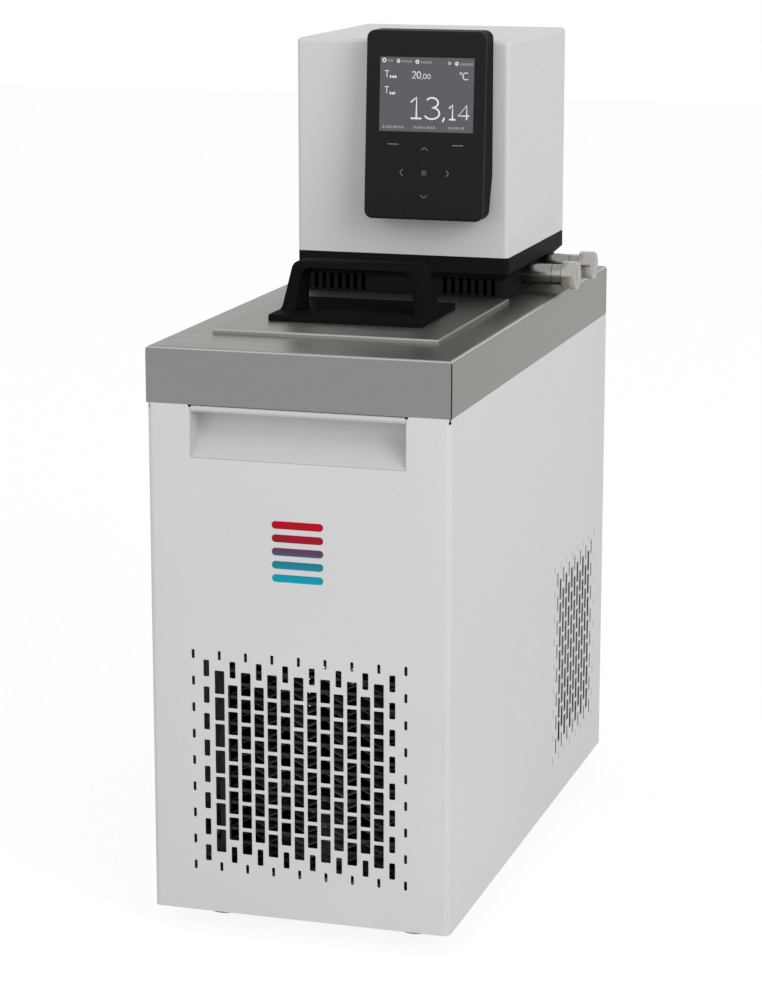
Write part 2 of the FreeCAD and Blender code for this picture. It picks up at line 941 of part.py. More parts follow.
def head_shell(inset, low, high):
    """The base's outer form, taken in by inset: a lower block, a sloped step and a band."""
    half = head_width / 2 - inset
    low_half = half - head_inset
    step_low = deck_top + head_step
    step_high = step_low + head_inset
    radius = head_corner - inset * 0.9
    lower = rounded_slab(
        -low_half, low_half, head_low_front + inset, head_low_back - inset, low, step_low, radius
    )
    under = rounded_wire(
        -low_half, low_half, head_low_front + inset, head_low_back - inset, step_low, radius
    )
    over = rounded_wire(-half, half, head_front + inset, head_back - inset, step_high, radius)
    step = Part.makeLoft([under, over], True, True)
    upper = rounded_slab(-half, half, head_front + inset, head_back - inset, step_high, high, radius)
    return lower.fuse([step, upper])


def make_head_base():
    base = head_shell(0, deck_top, head_base_top).cut(
        head_shell(head_wall, head_floor_top, head_base_top + 1)
    )
    low = head_floor_top + rib_slot_low
    for side in (-1, 1):
        for index in range(rib_slots):
            x = side * (rib_first + index * rib_pitch)
            slot = box(
                x - rib_slot / 2, x + rib_slot / 2, head_low_front - 1, head_low_front + head_wall + 1,
                low, low + rib_slot_height,
            )
            base = base.cut(slot)
    posts = []
    post_top = head_floor_top + motor_post
    for dx in (-motor_post_across, motor_post_across):
        for dy in (-motor_post_across, motor_post_across):
            posts.append(rod_z(deck_top, post_top, pump_across + dx, pump_y() + dy, motor_post_radius))
    board_y = head_front + board_setback
    for x in (-board_width / 2 + 8, board_width / 2 - 8):
        posts.append(box(x - 4, x + 4, board_y - 2, board_y + 4, deck_top, post_top))
    base = base.multiFuse(posts)
    holes = [rod_z(deck_top - 1, head_floor_top + 1, pump_across, pump_y(), shaft_hole_radius)]
    for y in outlet_places():
        holes.append(rod_x(head_low_side - 2 * head_wall, right, y, outlet_height, outlet_hole_radius))
        holes.append(rod_z(deck_top - 1, head_floor_top + 1, pipe_across, y, pipe_radius + fit_gap))
    for x, y in head_screw_places():
        holes.append(rod_z(deck_top - 1, head_floor_top + 1, x, y, head_screw_radius + shaft_gap))
    for x in (heater_left, heater_left + heater_span):
        holes.append(rod_z(
            deck_top - 1, head_floor_top + 1, x, head_front + heater_setback, heater_radius + fit_gap
        ))
    holes.append(rod_z(
        deck_top - 1, head_floor_top + 1, probe_place[0], head_front + probe_place[1],
        probe_radius + fit_gap
    ))
    return base.cut(Part.makeCompound(holes))


def make_head_screws():
    screws = []
    for x, y in head_screw_places():
        head = rod_z(head_floor_top, head_floor_top + head_screw_head, x, y, head_screw_head_radius)
        shank = rod_z(deck_under - bath_wall, head_floor_top, x, y, head_screw_radius)
        screws.append(head.fuse(shank))
    return Part.makeCompound(screws)


def make_head_cover():
    half = head_width / 2
    outer = rounded_slab(-half, half, head_front, head_back, head_base_top, head_top, head_corner)
    outer = fillet_where(outer, cover_edge_radius, level_at(head_top))
    t = cover_wall
    inner = rounded_slab(
        -half + t, half - t, head_front + t, head_back - t, head_base_top - 1, head_top - t,
        head_corner - t
    )
    cover = outer.cut(inner)
    slots = []
    for index in range(rear_slots):
        x = (index - (rear_slots - 1) / 2) * rear_slot_pitch
        z = head_base_top + rear_slot_rise
        slots.append(box(
            x - rear_slot[0] / 2, x + rear_slot[0] / 2, head_back - 2 * t, head_back + 1, z,
            z + rear_slot[1]
        ))
    return cover.cut(Part.makeCompound(slots))


# Control panel

def panel_low():
    return head_base_top + panel_rise


def panel_lean():
    """The face's lean from upright, in radians."""
    return atan2(panel_bottom_depth - panel_top_depth, panel_height)


def panel_slice(near, far):
    """The wedge's section in (Y, Z) between two depths behind the face."""
    lean = panel_lean()
    low = panel_low()
    high = low + panel_height
    bottom = head_front - panel_bottom_depth
    top = head_front - panel_top_depth
    shift0 = near / cos(lean)
    shift1 = far / cos(lean)
    return [(bottom + shift0, low), (bottom + shift1, low), (top + shift1, high), (top + shift0, high)]


def panel_block(grow):
    """Rounded front view of the panel as a long block, grown by a margin."""
    half = panel_width / 2 + grow
    low = panel_low() - grow
    high = panel_low() + panel_height + grow
    block = box(panel_across - half, panel_across + half, head_front - 60, head_front + 60, low, high)
    return fillet_where(block, panel_corner + grow, lambda e: e.BoundBox.YLength > 100)


def make_panel_front():
    x0 = panel_across - panel_width
    x1 = panel_across + panel_width
    slab = prism_x(panel_slice(0, panel_face), x0, x1).common(panel_block(0))
    slab = fillet_where(slab, panel_face_radius, on_face_rim)
    return slab.cut(window_hole(0, -5, panel_face + 5))


def face_depth(point):
    """How far a point lies behind the panel's face."""
    lean = panel_lean()
    dy = point.y - (head_front - panel_bottom_depth)
    dz = point.z - panel_low()
    return dy * cos(lean) - dz * sin(lean)


def on_face_rim(edge):
    return all(abs(face_depth(vertex.Point)) < 1e-3 for vertex in edge.Vertexes)


def on_panel(across, up, behind):
    """A point on the panel, from its middle line, its lower edge and its face."""
    lean = panel_lean()
    y = head_front - panel_bottom_depth + up * sin(lean) + behind * cos(lean)
    z = panel_low() + up * cos(lean) - behind * sin(lean)
    return V(panel_across + across, y, z)


def panel_plate(across, up, width, height, near, far):
    """A flat plate lying behind the face between two depths."""
    a0 = across - width / 2
    a1 = across + width / 2
    corners = [
        on_panel(a, b, near) for a, b in ((a0, up), (a1, up), (a1, up + height), (a0, up + height))
    ]
    return prism(corners, on_panel(0, 0, far) - on_panel(0, 0, near))


def screen_low():
    return panel_height / cos(panel_lean()) - screen_drop - screen_height


def window_hole(shrink, near, far):
    return panel_plate(
        screen_across, screen_low() + shrink, screen_width - 2 * shrink, screen_height - 2 * shrink, near,
        far
    )


def make_display_window():
    return window_hole(window_gap, 0.2, 0.2 + window_thickness)


def make_display_module():
    return window_hole(-display_margin, panel_face, panel_face + display_thickness)


def make_panel_board():
    near = panel_face + display_thickness
    low = screen_low() - 30
    return panel_plate(0, low, screen_width + 4, screen_height + 36, near, near + board_thickness)


def panel_back():
    """The panel's upright back, undercut towards its lower edge."""
    low = panel_low()
    knee = low + panel_back_knee
    high = low + panel_height
    reach = head_front - panel_back_undercut
    return [
        (head_front - 60, low), (reach, low), (head_front, knee), (head_front, high),
        (head_front - 60, high),
    ]


def make_panel_housing():
    x0 = panel_across - panel_width
    x1 = panel_across + panel_width
    solid = prism_x(panel_slice(panel_face, 60), x0, x1).common(prism_x(panel_back(), x0, x1))
    solid = solid.common(panel_block(0))
    hollow = prism_x(panel_slice(panel_face, 60), x0, x1)
    back_lines = [(y - panel_shell, z) for y, z in panel_back()]
    hollow = hollow.common(prism_x(back_lines, x0, x1)).common(panel_block(-panel_shell))
    return solid.cut(hollow)


# Pump, heater, probe and float

def pump_floor_z():
    return deck_top - pump_drop - pump_lid - pump_cup_height


def make_pump_motor():
    low = head_floor_top + motor_post
    half = motor_plate_side / 2
    x, y = pump_across, pump_y()
    plate = rounded_slab(x - half, x + half, y - half, y + half, low, low + motor_plate, 6.0)
    top = low + motor_plate + motor_height
    can = turned(
        [
            (0, 0), (0, motor_radius), (top - low - 3, motor_radius), (top - low, motor_radius - 3),
            (top - low, motor_boss_radius), (top - low + motor_boss, motor_boss_radius),
            (top - low + motor_boss, 0),
        ],
        V(x, y, low), V(0, 0, 1),
    )
    bore = rod_z(low - 1, low + shaft_in_motor + 2, x, y, pump_shaft_radius + shaft_gap)
    return plate.fuse(can).cut(bore)


def impeller_low():
    return pump_floor_z() + pump_floor + impeller_clearance


def make_pump_shaft():
    low = impeller_low()
    high = head_floor_top + motor_post + shaft_in_motor
    return rod_z(low, high, pump_across, pump_y(), pump_shaft_radius)


def make_impeller():
    low = impeller_low()
    high = low + impeller_height
    x, y = pump_across, pump_y()
    disc = rod_z(high - impeller_disc, high, x, y, impeller_radius)
    hub = rod_z(low, high, x, y, impeller_hub_radius)
    vanes = []
    for index in range(impeller_vanes):
        vane = box(
            x + impeller_hub_radius - 1, x + impeller_radius - 1, y + 2, y + 2 + impeller_vane, low,
            high - 1
        )
        vane.rotate(V(x, y, 0), V(0, 0, 1), index * 360.0 / impeller_vanes)
        vanes.append(vane)
    return disc.multiFuse([hub] + vanes).cut(
        rod_z(low - 1, high + 1, x, y, pump_shaft_radius + shaft_gap / 2)
    )


def make_pump_housing():
    low = pump_floor_z()
    high = low + pump_cup_height
    x, y = pump_across, pump_y()
    cup = rod_z(low, high, x, y, pump_radius)
    port_y = outlet_places()[0]
    port_z = low + pump_cup_height / 2
    cup = cup.fuse(rod_x(x, x + port_reach, port_y, port_z, port_radius))
    cup = cup.cut(rod_z(low + pump_floor, high + 1, x, y, pump_radius - pump_wall))
    cup = cup.cut(rod_z(low - 1, low + pump_floor + 1, x, y, pump_inlet_radius))
    return cup.cut(rod_x(x, x + port_reach + 1, port_y, port_z, pipe_bore_radius))


def make_pump_cover():
    low = pump_floor_z() + pump_cup_height
    x, y = pump_across, pump_y()
    return rod_z(low, low + pump_lid, x, y, pump_radius).cut(
        rod_z(low - 1, low + pump_lid + 1, x, y, pump_shaft_radius + 1)
    )


def make_support_rods():
    low = pump_floor_z() + pump_cup_height + pump_lid
    rods = []
    for index in range(4):
        angle = radians(45 + 90 * index)
        x = pump_across + rod_across * sqrt(2) * cos(angle)
        y = pump_y() + rod_across * sqrt(2) * sin(angle)
        rods.append(rod_z(low, deck_top, x, y, rod_radius))
    return Part.makeCompound(rods)


def make_outlet_pipe():
    y = outlet_places()[0]
    z = pump_floor_z() + pump_cup_height / 2
    points = [
        V(pump_across + port_reach, y, z), V(pipe_across, y, z), V(pipe_across, y, outlet_height),
        V(outlet_start - outlet_flange, y, outlet_height),
    ]
    return bent_tube(points, pipe_bend, pipe_radius, pipe_bore_radius)


def make_return_pipe():
    y = outlet_places()[1]
    points = [
        V(outlet_start - outlet_flange, y, outlet_height), V(pipe_across, y, outlet_height),
        V(pipe_across, y, outlet_height - return_drop),
    ]
    return bent_tube(points, pipe_bend, pipe_radius, pipe_bore_radius)


def make_outlet_nozzle(y):
    """A flanged tube through the wall, ending in a thinner threaded spigot."""
    start = outlet_start - outlet_flange
    neck = outlet_seam - start
    profile = [
        (0, outlet_bore_radius), (0, outlet_flange_radius), (outlet_flange, outlet_flange_radius),
        (outlet_flange, outlet_radius), (neck, outlet_radius), (neck, spigot_radius),
        (neck + spigot_length - 0.8, spigot_radius), (neck + spigot_length, spigot_radius - 0.8),
        (neck + spigot_length, outlet_bore_radius),
    ]
    return turned(profile, V(start, y, outlet_height), V(1, 0, 0))


def make_outlet_cap(y):
    """A closing cap: a neck as wide as the tube, a cone and a wide grip."""
    cone = cap_neck + cap_cone
    length = cone + cap_length
    bore = spigot_radius + shaft_gap
    depth = spigot_length + fit_gap
    profile = [
        (0, bore), (0, outlet_radius), (cap_neck, outlet_radius), (cone, cap_radius),
        (length - cap_edge, cap_radius), (length, cap_radius - cap_edge), (length, 0), (depth, 0),
        (depth, bore),
    ]
    return turned(profile, V(outlet_seam + fit_gap / 3, y, outlet_height), V(1, 0, 0))


def make_heater():
    y = head_front + heater_setback
    high = head_floor_top + heater_terminal
    low = deck_top - heater_drop
    x0, x1 = heater_left, heater_left + heater_span
    return bent_bar(
        [V(x0, y, high), V(x0, y, low), V(x1, y, low), V(x1, y, high)], heater_bend, heater_radius
    )


def make_probe():
    x, y = probe_place[0], head_front + probe_place[1]
    return rod_z(deck_top - probe_drop, head_floor_top + probe_top, x, y, probe_radius)


def float_low():
    return deck_top - float_rod_drop + float_stop


def make_float_rod():
    x, y = float_place[0], head_front + float_place[1]
    rod = rod_z(deck_top - float_rod_drop, deck_top, x, y, float_rod_radius)
    lower = rod_z(deck_top - float_rod_drop, float_low(), x, y, float_stop_radius)
    upper_z = float_low() + float_height + float_travel
    return rod.multiFuse([lower, rod_z(upper_z, upper_z + float_stop, x, y, float_stop_radius)])


def make_level_float():
    x, y = float_place[0], head_front + float_place[1]
    ball = rod_z(float_low(), float_low() + float_height, x, y, float_radius)
    ball = ball.makeFillet(3.0, [e for e in ball.Edges if abs(e.BoundBox.ZLength) < 1e-4])
    return ball.cut(
        rod_z(float_low() - 1, float_low() + float_height + 1, x, y, float_rod_radius + float_bore_gap)
    )


def make_control_board():
    low_x = -board_width / 2
    low_z = head_floor_top + motor_post
    y = head_front + board_setback
    face = y + board_thickness
    parts = [box(low_x, low_x + board_width, y, face, low_z, low_z + board_height)]
    for across, up, width, height, proud in (board_relay, board_coil):
        x, z = low_x + across, low_z + up
        parts.append(box(x, x + width, face, face + proud, z, z + height))
    for across in capacitor_across:
        parts.append(
            rod_y(face, face + capacitor_length, low_x + across, low_z + capacitor_rise, capacitor_radius)
        )
    return parts[0].multiFuse(parts[1:])


# Refrigeration

def condenser_x():
    x0 = left + condenser_left
    return x0, x0 + condenser_width


def condenser_y():
    y0 = front + sheet + condenser_gap
    return y0, y0 + condenser_depth


def tube_levels():
    return [pan_top + tube_low + index * slot_column_pitch for index in range(tube_count)]


def make_condenser():
    x0, x1 = condenser_x()
    y0, y1 = condenser_y()
    top = pan_top + condenser_height
    pieces = [
        box(x0, x0 + header_width, y0, y1, pan_top, top),
        box(x1 - header_width, x1, y0, y1, pan_top, top),
    ]
    for z in tube_levels():
        pieces.append(
            box(x0 + header_width - 1, x1 - header_width + 1, y0 + 1, y1 - 1, z, z + tube_height)
        )
    return pieces[0].multiFuse(pieces[1:])


def make_condenser_fins():
    """Folded strips between the flat tubes, touching the tube above and the tube below."""
    x0, x1 = condenser_x()
    y0, y1 = condenser_y()
    start = x0 + header_width + fit_gap
    end = x1 - header_width - fit_gap
    pitch = (end - start) / fin_folds
    levels = tube_levels()
    strips = []
    for z0, z1 in zip(levels, levels[1:]):
        low = z0 + tube_height
        high = z1
        upper = []
        lower = []
        for index in range(fin_folds + 1):
            x = start + index * pitch
            z = low if index % 2 == 0 else high - fin_sheet
            lower.append((x, z))
            upper.append((x, z + fin_sheet))
        strips.append(prism_y(lower + upper[::-1], y0 + 2, y1 - 2))
    return Part.makeCompound(strips)


def fan_axis():
    x0, x1 = condenser_x()
    return (x0 + x1) / 2, grille_middle


def make_fan_shroud():
    x0, x1 = condenser_x()
    y0 = condenser_y()[1]
    y1 = y0 + shroud_depth
    x, z = fan_axis()
    low = pan_top + pan_flange + 4
    top = pan_top + condenser_height
    tray = box(x0, x1, y0, y1, low, top).cut(
        box(x0 + sheet, x1 - sheet, y0 - 1, y1 - sheet, low + sheet, top - sheet)
    )
    tray = tray.fuse(rod_y(y1 - sheet, y1 + shroud_ring, x, z, shroud_ring_radius + sheet))
    return tray.cut(rod_y(y0, y1 + shroud_ring + 1, x, z, shroud_ring_radius))


def fan_front():
    return condenser_y()[1] + fan_inset


def make_fan_blades():
    """A hub with twisted blades, each a loft from its root to its tip."""
    x, z = fan_axis()
    y0 = fan_front()
    hub = rod_y(y0, y0 + fan_hub, x, z, fan_hub_radius)
    mid = y0 + fan_hub / 2
    blades = []
    for index in range(fan_blade_count):
        sections = []
        for reach, pitch in ((fan_hub_radius - 2, fan_root_pitch), (fan_radius, fan_tip_pitch)):
            angle = radians(pitch)
            along = V(cos(angle), sin(angle), 0) * (fan_blade_width / 2)
            across = V(-sin(angle), cos(angle), 0) * (fan_blade / 2)
            centre = V(x, mid, z + reach)
            corners = [
                centre - along - across, centre + along - across, centre + along + across,
                centre - along + across,
            ]
            sections.append(Part.makePolygon(corners + [corners[0]]))
        blade = Part.makeLoft(sections, True, True)
        blade.rotate(V(x, mid, z), V(0, 1, 0), index * 360.0 / fan_blade_count)
        blades.append(blade)
    bore = rod_y(y0 + 4, y0 + fan_hub + 1, x, z, fan_shaft_radius + shaft_gap / 2)
    return hub.multiFuse(blades).cut(bore)


def fan_motor_front():
    return condenser_y()[1] + shroud_depth + shroud_ring + fan_motor_gap


def make_fan_shaft():
    x, z = fan_axis()
    return rod_y(fan_front() + 4, fan_motor_front() + fan_shaft_in_motor, x, z, fan_shaft_radius)


def make_fan_motor():
    x, z = fan_axis()
    y0 = fan_motor_front()
    can = rod_y(y0, y0 + fan_motor_length, x, z, fan_motor_radius)
    can = can.makeFillet(
        3.0, [e for e in can.Edges if abs(e.BoundBox.YMin - y0 - fan_motor_length) < 1e-4]
    )
    return can.cut(rod_y(y0 - 1, y0 + fan_shaft_in_motor + 2, x, z, fan_shaft_radius + shaft_gap))


def make_fan_bracket():
    """A strap folded round the shroud's ring, carrying the motor."""
    x0, x1 = condenser_x()
    x, z = fan_axis()
    y0 = condenser_y()[1] + shroud_depth
    y1 = fan_motor_front()
    half = bracket_width / 2
    ring = shroud_ring_radius + sheet + fit_gap
    outline = [
        (x0, y0), (x0, y1), (x1, y1), (x1, y0), (x1 - sheet, y0), (x1 - sheet, y1 - sheet),
        (x0 + sheet, y1 - sheet), (x0 + sheet, y0),
    ]
    strap = prism([V(a, b, z - half) for a, b in outline], V(0, 0, bracket_width))
    strap = strap.cut(rod_y(y0 - 1, y0 + shroud_ring + 1, x, z, ring))
    return strap.cut(rod_y(y0, y1 + 1, x, z, fan_shaft_radius + 2))


def compressor_y():
    return back - compressor_margin


def make_compressor():
    x, y = compressor_across, compressor_y()
    low = pan_top + grommet_height
    plate_x, plate_y, plate_z = compressor_plate
    plate = rounded_slab(
        x - plate_x / 2, x + plate_x / 2, y - plate_y / 2, y + plate_y / 2, low, low + plate_z, 10.0
    )
    r, h, d = compressor_radius, compressor_height, compressor_dome
    dome = [(h - d + d * sin(a), r - d + d * cos(a)) for a in [radians(step * 30) for step in range(4)]]
    seam = h * 0.55
    s = compressor_seam_height
    profile = [
        (0, 0), (0, r - 8), (8, r), (seam, r), (seam, r + compressor_seam),
        (seam + s, r + compressor_seam),
        (seam + s, r),
    ] + dome + [(h, 0)]
    can = turned(profile, V(x, y, low), V(0, 0, 1))
    discharge = rod_x(x, x + r + stub_reach, y, discharge_height, stub_radius)
    suction = rod_y(y, y + r + stub_reach, x, suction_height, stub_radius)
    return plate.multiFuse([can, discharge, suction])


def make_grommets():
    x, y = compressor_across, compressor_y()
    half_x = compressor_plate[0] / 2 - grommet_inset
    half_y = compressor_plate[1] / 2 - grommet_inset
    rings = []
    for dx in (-half_x, half_x):
        for dy in (-half_y, half_y):
            rings.append(rod_z(pan_top, pan_top + grommet_height, x + dx, y + dy, grommet_radius))
    return Part.makeCompound(rings)


def make_discharge_pipe():
    start = compressor_across + compressor_radius + stub_reach
    side = right - sheet - line_side_gap
    y = (condenser_y()[0] + condenser_y()[1]) / 2
    z = discharge_height
    points = [
        V(start, compressor_y(), z), V(side, compressor_y(), z), V(side, y, z), V(condenser_x()[1], y, z),
    ]
    return bent_bar(points, line_bend * 0.8, line_radius)


def line_back():
    return coil_end() + suction_back


def make_suction_pipe():
    x, z = coil_ports()[1][0], coil_ports()[1][1]
    end = compressor_y() + compressor_radius + stub_reach
    points = [
        V(x, coil_end(), z), V(x, line_back(), z), V(x, line_back(), suction_height),
        V(compressor_across, line_back(), suction_height), V(compressor_across, end, suction_height),
    ]
    return bent_bar(points, suction_back * 0.8, line_radius)


def drier_y():
    y0 = front + drier_setback
    return y0, y0 + drier_length


def make_liquid_pipe():
    y = (condenser_y()[0] + condenser_y()[1]) / 2
    points = [
        V(condenser_x()[0], y, drier_height), V(-drier_across, y, drier_height),
        V(-drier_across, drier_y()[0], drier_height),
    ]
    return bent_bar(points, line_bend, line_radius)


def make_filter_drier():
    y0, y1 = drier_y()
    length = y1 - y0
    profile = [
        (0, 0), (0, line_radius + 1), (drier_neck, drier_radius), (length - drier_neck, drier_radius),
        (length, line_radius + 1), (length, 0),
    ]
    return turned(profile, V(-drier_across, y0, drier_height), V(0, 1, 0))


def make_capillary():
    x, z = coil_ports()[0]
    points = [
        V(-drier_across, drier_y()[1], drier_height), V(-drier_across, line_back(), drier_height),
        V(-drier_across, line_back(), z), V(x, line_back(), z), V(x, coil_end(), z),
    ]
    return bent_bar(points, suction_back * 0.8, capillary_radius)


# Drain

def make_drain_nozzle():
    start = bath_back
    inner = back - sheet - drain_flange - start
    wall = back - sheet - start
    end = back + drain_reach - start
    profile = [
        (0, drain_bore_radius), (0, drain_pipe_radius), (inner, drain_pipe_radius),
        (inner, drain_flange_radius),
        (wall, drain_flange_radius), (wall, drain_thread_radius), (end, drain_thread_radius),
        (end, drain_bore_radius),
    ]
    return turned(profile, V(0, start, drain_axis), V(0, 1, 0))


def make_drain_cap():
    start = drain_end - drain_cap_length
    bore = drain_thread_radius + shaft_gap
    depth = drain_cap_length - drain_cap_end
    profile = [
        (0, bore), (0, drain_cap_radius), (drain_cap_length - 1, drain_cap_radius),
        (drain_cap_length, drain_cap_radius - 1), (drain_cap_length, 0), (depth, 0), (depth, bore),
    ]
    return turned(profile, V(0, start, drain_axis), V(0, 1, 0))


# Mains inlet and switch

def inlet_outline(width, height, bevel):
    """A socket mouth: a rectangle with two bevelled lower corners."""
    a, b = width / 2, height / 2
    x, z = inlet_across, inlet_height
    return [
        (x - a + bevel, z - b), (x + a - bevel, z - b), (x + a, z - b + bevel), (x + a, z + b),
        (x - a, z + b),
        (x - a, z - b + bevel),
    ]


def make_mains_inlet():
    flange = prism_y(inlet_outline(inlet_flange[0], inlet_flange[1], 2.0), back, back + inlet_plate)
    body = prism_y(inlet_outline(inlet_body[0], inlet_body[1], 2.0), back - inlet_body_depth, back)
    mouth = back + inlet_plate
    recess = prism_y(
        inlet_outline(inlet_recess[0], inlet_recess[1], inlet_bevel), mouth - inlet_recess_depth,
        mouth + 1
    )
    inlet = flange.fuse(body).cut(recess)
    width, thickness, length = inlet_pin
    floor = mouth - inlet_recess_depth
    pins = []
    for dx, dz in (
        (-inlet_pin_across, inlet_pin_rise), (inlet_pin_across, inlet_pin_rise), (0, inlet_earth_rise)
    ):
        x = inlet_across + dx
        z = inlet_height + dz
        pins.append(box(
            x - thickness / 2, x + thickness / 2, floor - 1, floor + length, z - width / 2, z + width / 2
        ))
    return inlet.multiFuse(pins)


def switch_body_width():
    return switch_width + 2 * switch_wall


def switch_body_height():
    return 2 * (rocker_half_height + rocker_room + switch_wall)


def rocker_pivot():
    return back - 2.0


def make_switch_frame():
    x, z = switch_across, inlet_height
    a = switch_body_width() / 2
    b = switch_body_height() / 2
    f = switch_flange
    flange = box(x - a - f, x + a + f, back, back + switch_plate, z - b - f, z + b + f)
    body = box(x - a, x + a, back - switch_body_depth, back, z - b, z + b)
    w = switch_width / 2
    room = rocker_half_height + rocker_room
    well = box(
        x - w, x + w, back - switch_body_depth + switch_wall, back + switch_plate + 1, z - room, z + room
    )
    pin = rod_x(x - a - 1, x + a + 1, rocker_pivot(), z, rocker_pin_radius + shaft_gap)
    return flange.fuse(body).cut(well).cut(pin)


def make_switch_rocker():
    """A shallow V-faced rocker on its own pin, tipped to its off side."""
    x, z = switch_across, inlet_height
    w = switch_width / 2 - fit_gap
    h = rocker_half_height
    face = back + switch_plate + rocker_proud
    outline = [
        (face, z - h), (face - rocker_crest, z), (face, z + h), (rocker_pivot(), z + h * 0.8),
        (rocker_pivot() - rocker_depth * 0.6, z + h * 0.3),
        (rocker_pivot() - rocker_depth * 0.6, z - h * 0.3),
        (rocker_pivot(), z - h * 0.8),
    ]
    rocker = prism_x(outline, x - w, x + w)
    a = switch_body_width() / 2
    rocker = rocker.fuse(rod_x(x - a + fit_gap, x + a - fit_gap, rocker_pivot(), z, rocker_pin_radius))
    rocker.rotate(V(x, rocker_pivot(), z), V(1, 0, 0), -rocker_tilt)
    return rocker


# Hand over

def export(name, shape):
    """Moves a piece into the row frame and writes it."""
    piece = shape.copy()
    piece.translate(V(-origin_across, -origin_back, 0))
    solids = piece.Solids
    good = all(solid.isValid() and solid.Volume > 0 for solid in solids)
    if len(solids) == 1:
        piece = solids[0]
    piece.exportStep("parts/" + name + ".step")
    corner = piece.BoundBox
    print(
        f"{name}: {len(solids)} solid(s), {piece.Volume / 1000:.1f} cm3, "
        f"Z {corner.ZMin:.1f} to {corner.ZMax:.1f}" + ("" if good else "  NOT VALID")
    )


os.makedirs("parts", exist_ok=True)

export("feet", make_feet())
export("foot_screws", make_foot_screws())
export("base_pan", make_base_pan())
export("housing_cover", make_housing_cover())
export("grip_pocket", make_grip_pocket())
export("rear_panel", make_rear_panel())
export("panel_screws", make_panel_screws())
export("deck", make_deck())
export("bath_vessel", make_bath_vessel())
export("bath_insulation", make_bath_insulation())
export("evaporator_coil", make_evaporator_coil())
export("lid", make_lid())
export("lid_handle", make_lid_handle())
export("handle_screws", make_handle_screws())
export("head_base", make_head_base())
export("head_screws", make_head_screws())
export("head_cover", make_head_cover())
export("panel_front", make_panel_front())
export("display_window", make_display_window())
export("display_module", make_display_module())
export("panel_board", make_panel_board())
export("panel_housing", make_panel_housing())
export("control_board", make_control_board())
export("pump_motor", make_pump_motor())
export("pump_shaft", make_pump_shaft())
export("impeller", make_impeller())
export("pump_housing", make_pump_housing())
export("pump_cover", make_pump_cover())
export("support_rods", make_support_rods())
export("outlet_pipe", make_outlet_pipe())
export("return_pipe", make_return_pipe())

for outlet_name, outlet_y in zip(("front", "rear"), outlet_places()):
    export("outlet_nozzle_" + outlet_name, make_outlet_nozzle(outlet_y))
    export("outlet_cap_" + outlet_name, make_outlet_cap(outlet_y))

export("heater", make_heater())
export("temperature_probe", make_probe())
export("float_rod", make_float_rod())
export("level_float", make_level_float())
export("condenser", make_condenser())
export("condenser_fins", make_condenser_fins())
export("fan_shroud", make_fan_shroud())
export("fan_blades", make_fan_blades())
export("fan_shaft", make_fan_shaft())
export("fan_motor", make_fan_motor())
export("fan_bracket", make_fan_bracket())
export("compressor", make_compressor())
export("compressor_grommets", make_grommets())
export("discharge_pipe", make_discharge_pipe())
export("suction_pipe", make_suction_pipe())
export("liquid_pipe", make_liquid_pipe())
export("filter_drier", make_filter_drier())
export("capillary_tube", make_capillary())
export("drain_nozzle", make_drain_nozzle())
export("drain_cap", make_drain_cap())
export("mains_inlet", make_mains_inlet())
export("switch_frame", make_switch_frame())
export("switch_rocker", make_switch_rocker())
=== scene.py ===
# %% [markdown]
# # A refrigerated bath circulator
# The solids of the machine are ready: they come in as the frame, one object per piece.
# This lesson dresses them. It gives each piece a finish that is worked out from noise and
# waves, remodels the pieces whose look depends on fine edges, and prints the read-outs and
# the key marks on the control panel.

# %% Load the frame
from math import atan2, cos, pi, radians, sin

import bpy
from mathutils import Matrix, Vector


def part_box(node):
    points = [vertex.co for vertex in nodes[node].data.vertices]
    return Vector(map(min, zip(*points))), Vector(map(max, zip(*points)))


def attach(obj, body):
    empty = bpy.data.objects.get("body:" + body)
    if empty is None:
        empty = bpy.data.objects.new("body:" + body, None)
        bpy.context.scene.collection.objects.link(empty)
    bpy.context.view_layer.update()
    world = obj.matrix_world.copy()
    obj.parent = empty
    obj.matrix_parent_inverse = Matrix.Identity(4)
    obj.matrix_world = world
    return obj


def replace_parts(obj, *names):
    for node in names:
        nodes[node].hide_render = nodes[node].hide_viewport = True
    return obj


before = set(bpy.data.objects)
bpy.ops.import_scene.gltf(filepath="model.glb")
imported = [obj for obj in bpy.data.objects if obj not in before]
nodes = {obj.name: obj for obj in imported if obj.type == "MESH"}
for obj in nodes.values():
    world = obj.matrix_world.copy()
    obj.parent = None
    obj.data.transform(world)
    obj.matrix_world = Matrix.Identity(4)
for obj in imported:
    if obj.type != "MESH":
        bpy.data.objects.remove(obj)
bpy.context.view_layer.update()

# %% [markdown]
# ## Sizes that the new pieces share with the solids
# Everything is in metres. The control panel leans back, so its marks are drawn flat and then
# turned by the same lean as the panel's face.

# %% Shared sizes
MM = 0.001
cover_low, cover_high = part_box("housing_cover")
deck_low, deck_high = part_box("deck")
panel_low, panel_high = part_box("panel_front")
panel_middle = (panel_low.x + panel_high.x) / 2
panel_setback, panel_rise = 8.0 * MM, 126.4 * MM
panel_lean = atan2(panel_setback, panel_rise)
face_foot_y = -20.15 * MM
face_foot = Vector((panel_middle, face_foot_y, panel_low.z))
sheet = 0.6 * MM
front_y = cover_low.y
cover_middle = (cover_low.x + cover_high.x) / 2
print("front at", round(front_y, 4), "panel middle", round(panel_middle, 4))
print("panel lean", round(panel_lean, 4))

# %% [markdown]
# ## Helpers for modelling
# Edit-mode tools act on whatever is selected, so each step first clears the selection and then
# picks faces or edges by a test on their place or their direction.

# %% Modelling helpers
def clear_selection():
    if bpy.context.object and bpy.context.object.mode != "OBJECT":
        bpy.ops.object.mode_set(mode="OBJECT")
    bpy.ops.object.select_all(action="DESELECT")


